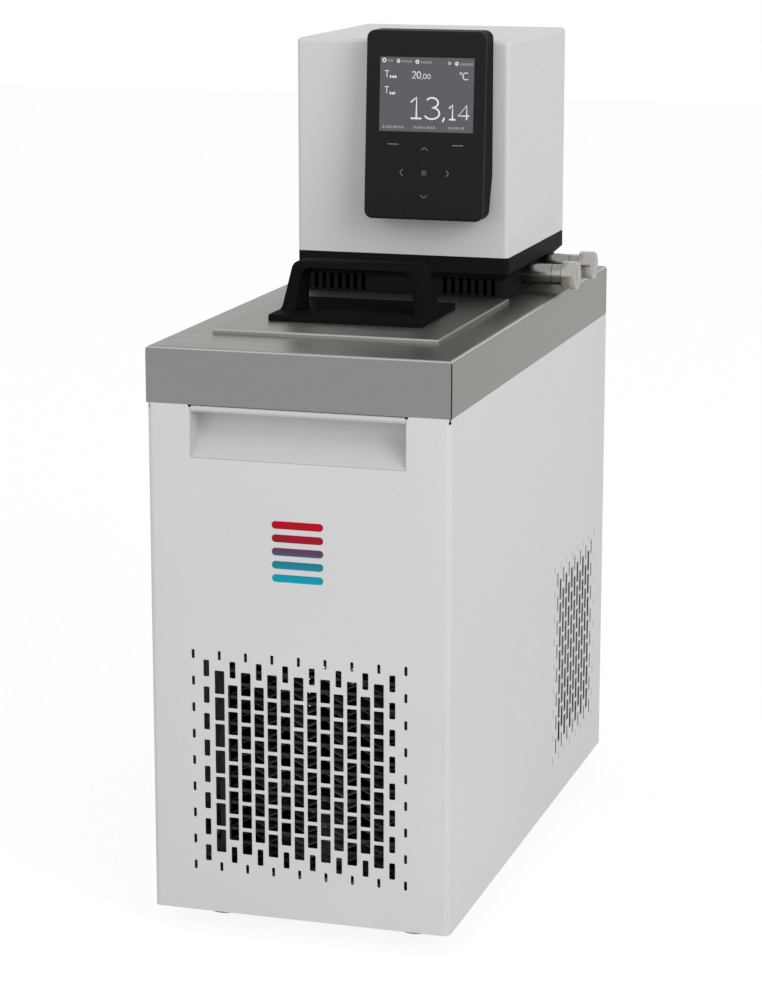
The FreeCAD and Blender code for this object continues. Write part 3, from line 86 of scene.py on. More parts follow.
def only(obj):
    clear_selection()
    obj.select_set(True)
    bpy.context.view_layer.objects.active = obj


def settle(obj):
    """Writes the object's place, turn and scale into its mesh."""
    only(obj)
    bpy.ops.object.transform_apply(location=True, rotation=True, scale=True)
    return obj


def block(name, low, high):
    """A cube primitive brought to the size and place of a box."""
    clear_selection()
    low, high = Vector(low), Vector(high)
    bpy.ops.mesh.primitive_cube_add(size=1, location=(low + high) / 2)
    obj = bpy.context.object
    obj.name = name
    obj.scale = high - low
    return settle(obj)


def pin(name, radius, length, place, turn=0.0):
    """A short cylinder that points out of the front, or is turned from there about Z."""
    clear_selection()
    bpy.ops.mesh.primitive_cylinder_add(vertices=24, radius=radius, depth=length, location=place)
    obj = bpy.context.object
    obj.name = name
    obj.rotation_euler = (pi / 2, 0, turn)
    return settle(obj)


def pick_faces(obj, test):
    """Selects the faces whose centre and normal pass a test, in edit mode."""
    only(obj)
    bpy.ops.object.mode_set(mode="EDIT")
    bpy.ops.mesh.select_mode(type="FACE")
    bpy.ops.mesh.select_all(action="DESELECT")
    bpy.ops.object.mode_set(mode="OBJECT")
    for face in obj.data.polygons:
        face.select = test(face.center, face.normal)
    bpy.ops.object.mode_set(mode="EDIT")


def pick_edges(obj, test):
    """Selects the edges whose two ends pass a test, in edit mode."""
    only(obj)
    bpy.ops.object.mode_set(mode="EDIT")
    bpy.ops.mesh.select_mode(type="EDGE")
    bpy.ops.mesh.select_all(action="DESELECT")
    bpy.ops.object.mode_set(mode="OBJECT")
    points = obj.data.vertices
    for edge in obj.data.edges:
        a, b = edge.vertices
        edge.select = test(points[a].co, points[b].co)
    bpy.ops.object.mode_set(mode="EDIT")


def remove_faces(obj, test):
    pick_faces(obj, test)
    bpy.ops.mesh.delete(type="FACE")
    bpy.ops.object.mode_set(mode="OBJECT")


def round_edges(obj, test, width, segments):
    """Bevels the edges whose two ends pass a test."""
    pick_edges(obj, test)
    bpy.ops.mesh.bevel(offset=width, segments=segments, affect="EDGES")
    bpy.ops.object.mode_set(mode="OBJECT")


def close_up(obj):
    """Turns all the faces outwards and leaves edit mode."""
    bpy.ops.mesh.select_all(action="SELECT")
    bpy.ops.mesh.normals_make_consistent(inside=False)
    bpy.ops.object.mode_set(mode="OBJECT")


def grow(obj, steps, along, middle):
    """Extrudes a flat outline along X or Z, and resizes it about the middle at each step.

    A step holds its place on the axis and two sizes of the outline there.
    """
    only(obj)
    bpy.ops.object.mode_set(mode="EDIT")
    bpy.ops.mesh.select_all(action="SELECT")
    for (before, *old), (after, *new) in zip(steps, steps[1:]):
        factors = [b / a for a, b in zip(old, new)]
        way = after - before
        move = (way, 0, 0) if along == "X" else (0, 0, way)
        factor = (1, *factors) if along == "X" else (*factors, 1)
        bpy.ops.mesh.extrude_region_move(TRANSFORM_OT_translate={"value": move})
        bpy.ops.transform.resize(value=factor, center_override=middle)
    close_up(obj)


def copy_of(obj, name):
    """A copy with its own mesh."""
    twin = obj.copy()
    twin.data = obj.data.copy()
    twin.name = name
    bpy.context.scene.collection.objects.link(twin)
    return twin


def joined(parts, name):
    clear_selection()
    for part in parts:
        part.select_set(True)
    bpy.context.view_layer.objects.active = parts[0]
    bpy.ops.object.join()
    parts[0].name = name
    return parts[0]


def apply_modifier(obj, kind, **settings):
    only(obj)
    modifier = obj.modifiers.new(kind.title(), kind)
    for key, value in settings.items():
        setattr(modifier, key, value)
    bpy.ops.object.modifier_apply(modifier=modifier.name)


def smooth(obj, degrees=30):
    only(obj)
    bpy.ops.object.shade_smooth_by_angle(angle=radians(degrees))


def finished(obj, material, body="circulator"):
    """Gives a piece its finish and ties it to the body that it moves with."""
    obj.data.materials.clear()
    obj.data.materials.append(material)
    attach(obj, body)
    print(obj.name, len(obj.data.polygons), "faces")
    return obj


# %% [markdown]
# ## Helpers for finishes
# Each finish is a Principled shader whose colour, roughness and bump are driven by noise on
# Object coordinates. Because every object's origin is the machine's origin, the noise has the
# same true scale on every piece.

# %% Finish helpers
class Finish:
    """A material with short words for the nodes that this lesson needs."""

    def __init__(self, name, color, roughness, metallic=0.0, specular=0.5):
        self.material = bpy.data.materials.new(name)
        self.material.use_nodes = True
        self.tree = self.material.node_tree
        self.shader = self.tree.nodes["Principled BSDF"]
        self.shader.inputs["Base Color"].default_value = (*color, 1)
        self.shader.inputs["Roughness"].default_value = roughness
        self.shader.inputs["Metallic"].default_value = metallic
        self.shader.inputs["Specular IOR Level"].default_value = specular
        self.place = self.node("ShaderNodeTexCoord").outputs["Object"]

    def node(self, kind, **settings):
        made = self.tree.nodes.new(kind)
        for key, value in settings.items():
            setattr(made, key, value)
        return made

    def link(self, source, target):
        self.tree.links.new(source, target)

    def stretched(self, x, y, z):
        """Object coordinates multiplied per axis, so that noise becomes streaks."""
        mapping = self.node("ShaderNodeMapping")
        mapping.inputs["Scale"].default_value = (x, y, z)
        self.link(self.place, mapping.inputs["Vector"])
        return mapping.outputs["Vector"]

    def noise(self, where, scale, detail=3.0, roughness=0.5):
        made = self.node("ShaderNodeTexNoise")
        made.inputs["Scale"].default_value = scale
        made.inputs["Detail"].default_value = detail
        made.inputs["Roughness"].default_value = roughness
        self.link(where, made.inputs["Vector"])
        return made.outputs["Fac"]

    def between(self, value, low, high):
        """Maps a noise of 0.3 to 0.7 onto low to high."""
        made = self.node("ShaderNodeMapRange")
        made.inputs["From Min"].default_value = 0.3
        made.inputs["From Max"].default_value = 0.7
        made.inputs["To Min"].default_value = low
        made.inputs["To Max"].default_value = high
        self.link(value, made.inputs["Value"])
        return made.outputs["Result"]

    def mixed(self, factor, first, second):
        """Blends two colours by a 0 to 1 value."""
        made = self.node("ShaderNodeMix", data_type="RGBA")
        self.link(factor, made.inputs["Factor"])
        for socket, color in ((made.inputs["A"], first), (made.inputs["B"], second)):
            if isinstance(color, tuple):
                socket.default_value = (*color, 1)
            else:
                self.link(color, socket)
        return made.outputs["Result"]

    def bump(self, height, distance, strength=1.0):
        made = self.node("ShaderNodeBump")
        made.inputs["Distance"].default_value = distance
        made.inputs["Strength"].default_value = strength
        self.link(height, made.inputs["Height"])
        self.link(made.outputs["Normal"], self.shader.inputs["Normal"])

    def color(self, source):
        self.link(source, self.shader.inputs["Base Color"])

    def rough(self, source):
        self.link(source, self.shader.inputs["Roughness"])


# %% [markdown]
# ## White powder coat
# The housing and the head are powder coated. Powder melts into a skin with a very fine
# orange-peel wave, and it never covers with perfectly even tone. A one-millimetre noise gives
# the wave, and a slow noise shifts the tone by about one percent. The grip pocket gets a slightly
# darker white, which is painted shade for the inside of the recess.

# %% Powder coat
def powder_coat(name, color):
    finish = Finish(name, color, 0.42, specular=0.4)
    cloud = finish.between(finish.noise(finish.place, 9.0, 2.0), 0.0, 1.0)
    darker = tuple(c * 0.975 for c in color)
    finish.color(finish.mixed(cloud, darker, color))
    peel = finish.noise(finish.place, 850.0, 2.0)
    finish.rough(finish.between(peel, 0.38, 0.48))
    finish.bump(peel, 0.00003, 0.5)
    return finish.material


housing_white = powder_coat("housing_white", (0.70, 0.70, 0.71))
head_white = powder_coat("head_white", (0.70, 0.70, 0.71))
pocket_white_painted_shade = powder_coat("pocket_white_painted_shade", (0.62, 0.62, 0.63))
print("powder coats ready")

# %% [markdown]
# ## Brushed stainless steel
# The deck, the lid and the bath are brushed sheet. The belt leaves long thin scratches along one
# direction. Noise that is stretched a hundredfold along that direction shades the colour and the
# roughness, and a very small bump spreads the reflections across the grain.

# %% Brushed steel
def brushed(name, color, grain, roughness=(0.26, 0.40), bump=0.000012):
    finish = Finish(name, color, 0.33, metallic=1.0)
    streaks = finish.noise(finish.stretched(*grain), 1.0, 4.0, 0.6)
    smudge = finish.noise(finish.place, 14.0, 3.0)
    darker = tuple(c * 0.88 for c in color)
    tone = finish.mixed(finish.between(streaks, 0.0, 1.0), darker, color)
    smudged = tuple(c * 0.92 for c in color)
    finish.color(finish.mixed(finish.between(smudge, 0.0, 0.25), tone, smudged))
    finish.rough(finish.between(streaks, *roughness))
    finish.bump(streaks, bump, 0.6)
    return finish


def beyond(finish, axis, start, end):
    """A share that grows from 0 to 1 along X, Y or Z, between two places."""
    place = finish.node("ShaderNodeSeparateXYZ")
    finish.link(finish.place, place.inputs["Vector"])
    share = finish.node("ShaderNodeMapRange")
    share.inputs["From Min"].default_value = start
    share.inputs["From Max"].default_value = end
    finish.link(place.outputs[axis], share.inputs["Value"])
    return share.outputs["Result"]


def combined(finish, operation, *shares):
    """Joins shares by MULTIPLY (all of them) or MAXIMUM (any of them)."""
    result = shares[0]
    for share in shares[1:]:
        math = finish.node("ShaderNodeMath", operation=operation)
        finish.link(result, math.inputs[0])
        finish.link(share, math.inputs[1])
        result = math.outputs[0]
    return result


def tinted(finish, share, color):
    """Lays a second colour over the finish where the share says so."""
    source = finish.shader.inputs["Base Color"].links[0].from_socket
    finish.color(finish.mixed(share, source, color))


deck_grain, lid_grain, bath_grain = (25.0, 900.0, 2500.0), (25.0, 1200.0, 2500.0), (900.0, 900.0, 20.0)
deck_finish = brushed("steel_deck", (0.247, 0.239, 0.213), deck_grain, (0.30, 0.44))
# Painted reflection: the front skirt gets a cooler, lighter tone than the side skirt.
front_skirt_reflection = beyond(deck_finish, "Y", deck_low.y + 2.2 * MM, deck_low.y + 1.2 * MM)
tinted(deck_finish, front_skirt_reflection, (0.265, 0.266, 0.273))
# Painted highlight: a light band along the rounded top bends of the front and right skirts.
highlight_rims = combined(
    deck_finish, "MAXIMUM",
    beyond(deck_finish, "X", deck_high.x - 1.3 * MM, deck_high.x - 0.9 * MM),
    beyond(deck_finish, "Y", deck_low.y + 1.3 * MM, deck_low.y + 0.9 * MM),
)
highlight_top_bend = beyond(deck_finish, "Z", deck_high.z - 1.3 * MM, deck_high.z - 0.9 * MM)
tinted(deck_finish, combined(deck_finish, "MULTIPLY", highlight_rims, highlight_top_bend), (0.52, 0.52, 0.54))
seam = combined(
    deck_finish, "MULTIPLY",
    beyond(deck_finish, "X", deck_high.x - 0.75 * MM, deck_high.x - 0.6 * MM),
    beyond(deck_finish, "Y", deck_low.y + 0.75 * MM, deck_low.y + 0.6 * MM),
    beyond(deck_finish, "Z", deck_high.z - 1.3 * MM, deck_high.z - 1.6 * MM),
)
tinted(deck_finish, seam, (0.02, 0.02, 0.022))
steel_deck = deck_finish.material
lid_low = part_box("lid")[0]
lid_finish = brushed("steel_lid", (0.258, 0.248, 0.222), lid_grain, (0.34, 0.48))
# Painted highlight: a light band along the lid's front rim.
lid_front_highlight = beyond(lid_finish, "Y", lid_low.y + 1.4 * MM, lid_low.y + 0.8 * MM)
tinted(lid_finish, lid_front_highlight, (0.42, 0.415, 0.40))
steel_lid = lid_finish.material
steel_bath = brushed("steel_bath", (0.40, 0.40, 0.39), bath_grain).material

# %% [markdown]
# Turned and plated metals have no long scratches. Their noise is even, or runs around the piece.

# %% Turned, plated and drawn metals
turned_grain, even_grain, fine_bump = (900.0, 40.0, 40.0), (300.0, 300.0, 300.0), 0.000004
steel_turned = brushed(
    "steel_turned", (0.45, 0.435, 0.40), turned_grain, (0.13, 0.22), fine_bump
).material
# The faced steel has an even, rougher finish, and its darker colour is painted shade for the caps'
# flat end faces.
steel_faced_painted_shade = brushed(
    "steel_faced_painted_shade", (0.36, 0.350, 0.322), even_grain, (0.24, 0.34), fine_bump
).material
zinc = brushed("zinc", (0.52, 0.52, 0.51), even_grain, (0.3, 0.4)).material
galvanised = brushed("galvanised", (0.50, 0.51, 0.52), (60.0, 60.0, 60.0), (0.34, 0.5)).material
fin_finish = Finish("fin_metal", (0.05, 0.05, 0.05), 0.6, metallic=0.4, specular=0.3)
# Dust and painted reflection: a slow noise lays lighter clouds over the dark fins.
dust_and_reflection = fin_finish.between(fin_finish.noise(fin_finish.place, 16.0, 3.0), -0.3, 0.9)
fin_finish.color(fin_finish.mixed(dust_and_reflection, (0.045, 0.045, 0.048), (0.22, 0.22, 0.215)))
fin_metal = fin_finish.material
tube_grain, cast_grain = (200.0, 200.0, 200.0), (500.0, 500.0, 500.0)
tube_metal = brushed("tube_metal", (0.060, 0.058, 0.056), tube_grain, (0.35, 0.5)).material
blackened = brushed("blackened", (0.03, 0.03, 0.03), even_grain, (0.4, 0.5)).material
motor_metal = brushed("motor_metal", (0.22, 0.22, 0.22), cast_grain, (0.4, 0.55)).material
copper = brushed("copper", (0.60, 0.32, 0.20), tube_grain, (0.26, 0.38)).material
print("metals ready")

# %% [markdown]
# ## Moulded plastics, rubber, boards and foam
# Black mouldings leave the tool with a fine grain that scatters light, so their black is never
# flat. The key film is smoother than the mouldings. Foam has open cells of about a millimetre.

# %% Plastics and the rest
def grained(name, color, roughness, scale=1400.0, bump=0.00004, specular=0.4):
    finish = Finish(name, color, roughness, specular=specular)
    grain = finish.noise(finish.place, scale, 2.0)
    lighter = tuple(c * 1.25 for c in color)
    finish.color(finish.mixed(finish.between(grain, 0.0, 1.0), color, lighter))
    finish.rough(finish.between(grain, roughness - 0.06, roughness + 0.08))
    finish.bump(grain, bump, 0.5)
    return finish.material


moulded_black = grained("moulded_black", (0.0100, 0.0100, 0.0108), 0.46, specular=0.01)
handle_black = grained("handle_black", (0.0078, 0.0078, 0.0080), 0.32, specular=0.0005)
inner_black = grained("inner_black", (0.009, 0.009, 0.009), 0.5, specular=0.1)
panel_black = grained("panel_black", (0.0125, 0.0125, 0.0130), 0.42, 1800.0, 0.00002, 0.08)
can_black = grained("can_black", (0.008, 0.008, 0.008), 0.3, 300.0, 0.00003, 0.2)
rubber_black = grained("rubber_black", (0.012, 0.012, 0.012), 0.7, 900.0, 0.00006, 0.15)
board_green = grained("board_green", (0.02, 0.10, 0.04), 0.4, 500.0, 0.00002)
foam_cells = grained("foam_cells", (0.50, 0.46, 0.34), 0.9, 700.0, 0.0004, specular=0.1)
print("plastics ready")

# %% [markdown]
# ## The display
# The display shows through a clear window in the panel: a dark grey field that glows a little.
# Its light comes from the shader's own emission, and a smooth coat gives the window's gloss.

# %% Display finishes
def glowing(name, color, glow, coat=0.0):
    finish = Finish(name, color, 0.3, specular=0.3)
    finish.shader.inputs["Emission Color"].default_value = (*color, 1)
    finish.shader.inputs["Emission Strength"].default_value = glow
    finish.shader.inputs["Coat Weight"].default_value = coat
    finish.shader.inputs["Coat Roughness"].default_value = 0.08
    shade = finish.noise(finish.place, 60.0, 2.0)
    lighter = tuple(c * 1.06 for c in color)
    finish.color(finish.mixed(finish.between(shade, 0.0, 1.0), color, lighter))
    return finish.material


display_grey = glowing("display_grey", (0.066, 0.069, 0.080), 0.42, coat=0.08)
display_white = glowing("display_white", (0.74, 0.76, 0.78), 0.15)
display_dim = glowing("display_dim", (0.26, 0.26, 0.28), 0.12)
print("display ready")

# %% [markdown]
# ## Who wears what
# Each solid that keeps its own shape gets its finish by name. The record's slots stay the same
# ones as in the model, so a finish can be changed for all its pieces at once.

# %% Dress the solids
wardrobe = {
    "white_paint": {
        housing_white: ["housing_cover", "grip_pocket", "rear_panel"],
        head_white: ["head_cover"],
    },
    "steel": {
        steel_deck: ["deck"],
        steel_lid: ["lid"],
        steel_bath: ["bath_vessel"],
        steel_turned: [
            "evaporator_coil", "pump_shaft", "support_rods", "outlet_pipe", "return_pipe",
            "outlet_nozzle_front", "outlet_nozzle_rear", "outlet_cap_front", "outlet_cap_rear",
            "heater", "temperature_probe", "float_rod", "level_float", "fan_shaft", "drain_nozzle",
        ],
    },
    "zinc": {
        zinc: ["foot_screws", "panel_screws", "handle_screws"],
        blackened: ["head_screws"],
    },
    "galvanised": {galvanised: ["base_pan", "fan_shroud", "fan_bracket"]},
    "black_plastic": {
        moulded_black: [
            "head_base", "panel_housing", "drain_cap", "mains_inlet", "switch_frame", "switch_rocker",
        ],
        handle_black: ["lid_handle"],
        inner_black: ["display_module", "impeller", "pump_housing", "pump_cover", "fan_blades"],
    },
    "panel_film": {panel_black: ["panel_front"]},
    "display_glass": {display_grey: ["display_window"]},
    "circuit_board": {board_green: ["panel_board", "control_board"]},
    "motor_metal": {motor_metal: ["pump_motor", "fan_motor"]},
    "fin_metal": {tube_metal: ["condenser"], fin_metal: ["condenser_fins"]},
    "black_paint": {can_black: ["compressor"]},
    "rubber": {rubber_black: ["feet", "compressor_grommets"]},
    "copper": {
        copper: ["discharge_pipe", "suction_pipe", "liquid_pipe", "filter_drier", "capillary_tube"],
    },
    "foam": {foam_cells: ["bath_insulation"]},
}
dressed = 0
for slot_name, finishes in wardrobe.items():
    for material, names in finishes.items():
        for name in names:
            nodes[name].data.materials.clear()
            nodes[name].data.materials.append(material)
            dressed += 1
print(dressed, "of", len(nodes), "solids dressed")

# %% [markdown]
# ## The housing cover
# The cover is one folded sheet: the front and both sides. It is the face of the machine, and what
# makes it look real is the lattice of punched slots, which grow from small ones at the rim to big
# ones in the middle. Punched and coated slots have round corners and a soft outer edge, so the
# cover is modelled again here. A cube loses its top, floor and back, its two front edges are
# bevelled, and Solidify gives it the sheet's thickness.

# %% Fold the sheet
fold_radius = 4.5 * MM
folded = block("cover_sheet", cover_low, cover_high)
remove_faces(folded, lambda c, n: abs(n.z) > 0.9 or n.y > 0.9)


def upright_at_front(a, b):
    return abs(a.y - front_y) < 1e-6 and abs(b.y - front_y) < 1e-6 and abs(a.z - b.z) > 0.1


round_edges(folded, upright_at_front, fold_radius, 6)
apply_modifier(folded, "SOLIDIFY", thickness=sheet, offset=-1.0)
print("sheet", len(folded.data.polygons), "faces")

# %% [markdown]
# A slot cutter is modelled once for each of the three slot sizes. It starts as a flat rectangle
# whose corners are rounded by a vertex bevel. It is pushed through the sheet, and its last quarter
# millimetre flares, which leaves the soft outer edge.

# %% Model the three slot cutters
behind, soft_edge, flare = 3 * MM, 0.25 * MM, 0.75 * MM


def slot_cutter(name, width, height, corner):
    clear_selection()
    bpy.ops.mesh.primitive_plane_add(size=1, location=(0, 0, 0))
    cutter = bpy.context.object
    cutter.name = name
    cutter.scale = (width, height, 1)
    settle(cutter)
    bpy.ops.object.mode_set(mode="EDIT")
    bpy.ops.mesh.select_all(action="SELECT")
    bpy.ops.mesh.bevel(offset=corner, offset_type="OFFSET", segments=4, affect="VERTICES")
    bpy.ops.mesh.select_all(action="SELECT")
    bpy.ops.transform.translate(value=(0, 0, -behind))
    bpy.ops.mesh.extrude_region_move(TRANSFORM_OT_translate={"value": (0, 0, behind - soft_edge)})
    bpy.ops.mesh.extrude_region_move(TRANSFORM_OT_translate={"value": (0, 0, flare)})
    wider = ((width + 2 * flare) / width, (height + 2 * flare) / height, 1)
    bpy.ops.transform.resize(value=wider, center_override=(0, 0, 0))
    close_up(cutter)
    return cutter


# width, height and corner radius in millimetres
slot_sizes = {"small": (2.0, 6.1, 0.85), "medium": (3.9, 10.9, 0.75), "big": (6.5, 15.4, 0.65)}
cutters = {
    key: slot_cutter("cutter_" + key, width * MM, height * MM, corner * MM)
    for key, (width, height, corner) in slot_sizes.items()
}
print("cutters", {key: len(cutter.data.vertices) for key, cutter in cutters.items()})

# %% [markdown]
# The lattice has a pitch of 8.87 mm across. Every second column is shifted by half a row. The
# outermost columns and rows take small slots, the next ones medium slots, and the rest big ones.
# Each cutter is turned so that its flare faces out of the front or out of a side.

# %% Lay out the lattice
column_pitch, row_pitch, rows = 8.87 * MM, 17.74 * MM, 9


def lattice(columns):
    """Yields (across, up, size name) for every slot, about the lattice's middle."""
    for column in range(columns):
        rim = min(column, columns - 1 - column)
        shift = column % 2
        count = rows - shift
        for row in range(count):
            at_end = row in (0, count - 1)
            if rim == 0 or (at_end and not shift):
                size = "small"
            elif rim == 1 or at_end:
                size = "medium"
            else:
                size = "big"
            across = (column - (columns - 1) / 2) * column_pitch
            yield across, ((count - 1) / 2 - row) * row_pitch, size


print("lattice pitch", column_pitch, "across and", row_pitch, "up")

# %% Place the cutters
front_columns, side_columns = 17, 15
grille_z = cover_low.z + 101.84 * MM
side_y = cover_high.y - 90.2 * MM
tools = []
for across, up, size in lattice(front_columns):
    tool = copy_of(cutters[size], "front_slot")
    tool.rotation_euler = (pi / 2, 0, 0)
    tool.location = (cover_middle + across, front_y, grille_z + up)
    tools.append(tool)
for side, x in ((-1, cover_low.x), (1, cover_high.x)):
    for across, up, size in lattice(side_columns):
        tool = copy_of(cutters[size], "side_slot")
        tool.rotation_euler = (pi / 2, 0, side * pi / 2)
        tool.location = (x, side_y + across, grille_z + up)
        tools.append(tool)
for cutter in cutters.values():
    bpy.data.objects.remove(cutter)
lattice_tool = settle(joined(tools, "lattice_tool"))
print("slots", len(tools), "cutter faces", len(lattice_tool.data.polygons))

# %% [markdown]
# The notch for the grip pocket and the small round reliefs at the top of both folds are cut with
# the same Boolean tool. The reliefs are what a sheet-metal worker drills so that a fold doesn't
# tear at its end.

# %% Make the notch and relief tools
grip_half, grip_low = 71.0 * MM, cover_high.z - 34.0 * MM
notch = block(
    "notch", (cover_middle - grip_half, front_y - 4 * MM, grip_low),
    (cover_middle + grip_half, front_y + 6 * MM, cover_high.z + 2 * MM),
)
fold_half, fold_inset, relief_drop = 100 * MM, 1.4 * MM, 2.6 * MM
relief_radius, slit_half = 1.05 * MM, 0.5 * MM
notch_corner_z = cover_high.z - 0.4 * MM
cut_tools = [lattice_tool, notch]
for side in (-1, 1):
    turn = side * pi / 4
    fold_x = cover_middle + side * (fold_half - fold_inset)
    corner = Vector((fold_x, front_y + fold_inset, cover_high.z - relief_drop))
    cut_tools.append(pin("relief_drill", relief_radius, 9 * MM, corner, turn))
    slit = block("relief_slit", (-slit_half, -4.5 * MM, 0), (slit_half, 4.5 * MM, 5 * MM))
    slit.rotation_euler = (0, 0, turn)
    slit.location = corner
    cut_tools.append(settle(slit))
    notch_corner = (cover_middle + side * grip_half, front_y, notch_corner_z)
    cut_tools.append(pin("notch_drill", 1.2 * MM, 6 * MM, notch_corner))
print(len(cut_tools), "tools to cut with")

# %% Cut the cover
for tool in cut_tools:
    apply_modifier(folded, "BOOLEAN", operation="DIFFERENCE", solver="EXACT", object=tool)
    bpy.data.objects.remove(tool)
smooth(folded, 35)
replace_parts(finished(folded, housing_white), "housing_cover")

# %% [markdown]
# The two round corners of the notch hold small black discs: painted shade for the open holes.

# %% Paint shade into the notch corners
shade_dot_y = front_y + 0.45 * MM
shade_dots = [
    pin("shade_dot", 1.15 * MM, 0.6 * MM, (cover_middle + side * grip_half, shade_dot_y, notch_corner_z))
    for side in (-1, 1)
]
finished(joined(shade_dots, "notch_shade_dots"), rubber_black)

# %% [markdown]
# ## The grip pocket
# Behind the notch sits the pocket for the fingers. It starts as the space that the hand needs: a
# block whose lower back edge is lifted, so that the floor becomes a slope, and then rounded. The
# open front face is deleted, and Solidify turns the space's walls into sheet. A rounded bar
# above it is the folded lip that the fingers pull on.

# %% Model the grip pocket
grip_deep, grip_top = 19.0 * MM, cover_high.z - 3.9 * MM
hair = 0.02 * MM
floor_lift, floor_bend = 18.0 * MM, 6 * MM
pocket = block(
    "grip_pocket_walls", (cover_middle - grip_half + hair, front_y + 0.4 * MM, grip_low + hair),
    (cover_middle + grip_half - hair, front_y + grip_deep, grip_top),
)


def low_and_back(a, b):
    return max(a.z, b.z) < grip_low + 1 * MM and min(a.y, b.y) > front_y + 1 * MM


pick_edges(pocket, low_and_back)
bpy.ops.transform.translate(value=(0, 0, floor_lift))
bpy.ops.mesh.bevel(offset=floor_bend, segments=8, affect="EDGES")
bpy.ops.object.mode_set(mode="OBJECT")
remove_faces(pocket, lambda c, n: n.y < -0.99)
apply_modifier(pocket, "SOLIDIFY", thickness=0.5 * MM, offset=-1.0)
print("pocket walls", len(pocket.data.polygons), "faces")

# %% Model the pocket's lip
lip_half = grip_half - 0.3 * MM
lip = block(
    "grip_lip", (cover_middle - lip_half, front_y + 0.05 * MM, grip_top - 0.2 * MM),
    (cover_middle + lip_half, front_y + 5 * MM, cover_high.z - 0.5 * MM),
)


def level_at_front(a, b):
    return max(a.y, b.y) < front_y + 0.1 * MM and abs(a.z - b.z) < 1e-6


round_edges(lip, level_at_front, 1.3 * MM, 5)
pocket = joined([pocket, lip], "grip_pocket_sheet")
smooth(pocket)
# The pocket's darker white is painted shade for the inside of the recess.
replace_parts(finished(pocket, pocket_white_painted_shade), "grip_pocket")

# %% [markdown]
# ## The feet
# Four rubber feet carry the machine. A foot starts as the bottom of its screw recess, a filled
# circle, and is extruded down, outwards and up again. It is modelled once and copied three times.

# %% Model the feet
feet_low, feet_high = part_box("feet")
foot_inset = 12 * MM
# height and radius in millimetres, from the screw recess down, outwards and up
foot_contour = [(6, 5), (0, 5), (0, 13.0), (0.8, 13.8), (4, 13.8), (14, 12)]
recess_height, recess_radius = foot_contour[0]
clear_selection()
bpy.ops.mesh.primitive_circle_add(
    vertices=48, radius=recess_radius * MM, fill_type="NGON", location=(0, 0, recess_height * MM)
)
foot = bpy.context.object
foot.name = "foot"
settle(foot)
grow(foot, [(height * MM, radius, radius) for height, radius in foot_contour], "Z", (0, 0, 0))
feet = [foot] + [copy_of(foot, "foot") for _ in range(3)]
corners = [
    (x, y)
    for x in (feet_low.x + foot_inset, feet_high.x - foot_inset)
    for y in (feet_low.y + foot_inset, feet_high.y - foot_inset)
]
for one, (x, y) in zip(feet, corners):
    one.location = (x, y, 0)
feet = settle(joined(feet, "rubber_feet"))
smooth(feet)
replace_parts(finished(feet, rubber_black), "feet")

# %% [markdown]
# ## The lid handle
# The handle is one black moulding: a flat plate and a bridge whose arms lean inwards and flare
# out at their feet. The bridge starts as the foot's outline. It is extruded upwards in steps,
# and each step is resized, so that the flare comes out concave. The finger opening is a tapered
# block with round top corners, cut by a Boolean.

# %% Model the handle's plate
handle_low, handle_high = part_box("lid_handle")
handle_x = (handle_low.x + handle_high.x) / 2
handle_y = (handle_low.y + handle_high.y) / 2 - 5 * MM
plate_top = handle_low.z + 4 * MM
handle_plate = block("handle_plate", handle_low, (handle_high.x, handle_high.y, plate_top))
round_edges(handle_plate, lambda a, b: abs(a.z - b.z) > 1 * MM, 2.0 * MM, 4)
round_edges(handle_plate, lambda a, b: min(a.z, b.z) > plate_top - 1e-6, 0.5 * MM, 2)
print("plate", len(handle_plate.data.polygons), "faces")

# %% Grow the handle's bridge
# height above the plate, half width and half depth of each step, in millimetres
bridge_contour = [
    (-0.5, 52.3, 17.0), (0.3, 51.9, 16.0), (1.5, 51.2, 14.9), (3.5, 50.6, 14.2),
    (6.5, 50.0, 13.6), (10, 49.2, 13.1), (32, 44.0, 11.5),
]
steps = [(plate_top + height * MM, half_x, half_y) for height, half_x, half_y in bridge_contour]
clear_selection()
bpy.ops.mesh.primitive_plane_add(size=2, location=(handle_x, handle_y, steps[0][0]))
bridge = bpy.context.object
bridge.name = "handle_bridge"
bridge.scale = (steps[0][1] * MM, steps[0][2] * MM, 1)
settle(bridge)
grow(bridge, steps, "Z", (handle_x, handle_y, 0))
bridge_top = steps[-1][0]


def arm_or_top(a, b):
    return abs(a.z - b.z) > 0.1 * MM or min(a.z, b.z) > bridge_top - 1e-6


round_edges(bridge, arm_or_top, 4.2 * MM, 5)
print("bridge", len(bridge.data.polygons), "faces")

# %% Cut the finger opening
opening_top = plate_top + 27.7 * MM
opening_low_half, opening_high_half, reach = 41.3, 37.4, 30 * MM
opening = block(
    "handle_opening",
    (handle_x - opening_low_half * MM, handle_y - reach, plate_top - 3 * MM),
    (handle_x + opening_low_half * MM, handle_y + reach, opening_top),
)
pick_faces(opening, lambda c, n: n.z > 0.9)
narrower = (opening_high_half / opening_low_half, 1, 1)
bpy.ops.transform.resize(value=narrower, center_override=(handle_x, handle_y, 0))
bpy.ops.object.mode_set(mode="OBJECT")


def top_along_y(a, b):
    return min(a.z, b.z) > opening_top - 1e-6 and abs(a.x - b.x) < 1e-6


round_edges(opening, top_along_y, 6 * MM, 6)
apply_modifier(bridge, "BOOLEAN", operation="DIFFERENCE", solver="EXACT", object=opening)
bpy.data.objects.remove(opening)
sharp = radians(50)
apply_modifier(bridge, "BEVEL", width=1.2 * MM, segments=3, limit_method="ANGLE", angle_limit=sharp)
handle = joined([handle_plate, bridge], "handle_moulding")
smooth(handle, 40)
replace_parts(finished(handle, handle_black), "lid_handle")

# %% [markdown]
# ## The closing caps of the pump outlets
# The two caps are turned parts. Each one starts as a filled circle at its outer end. The circle
# is extruded towards the machine and resized at each step of the contour, and at the mouth it
# turns inwards and back to become the bore. A small chamfer at the mouth leaves a fine seam
# against the outlet tube.

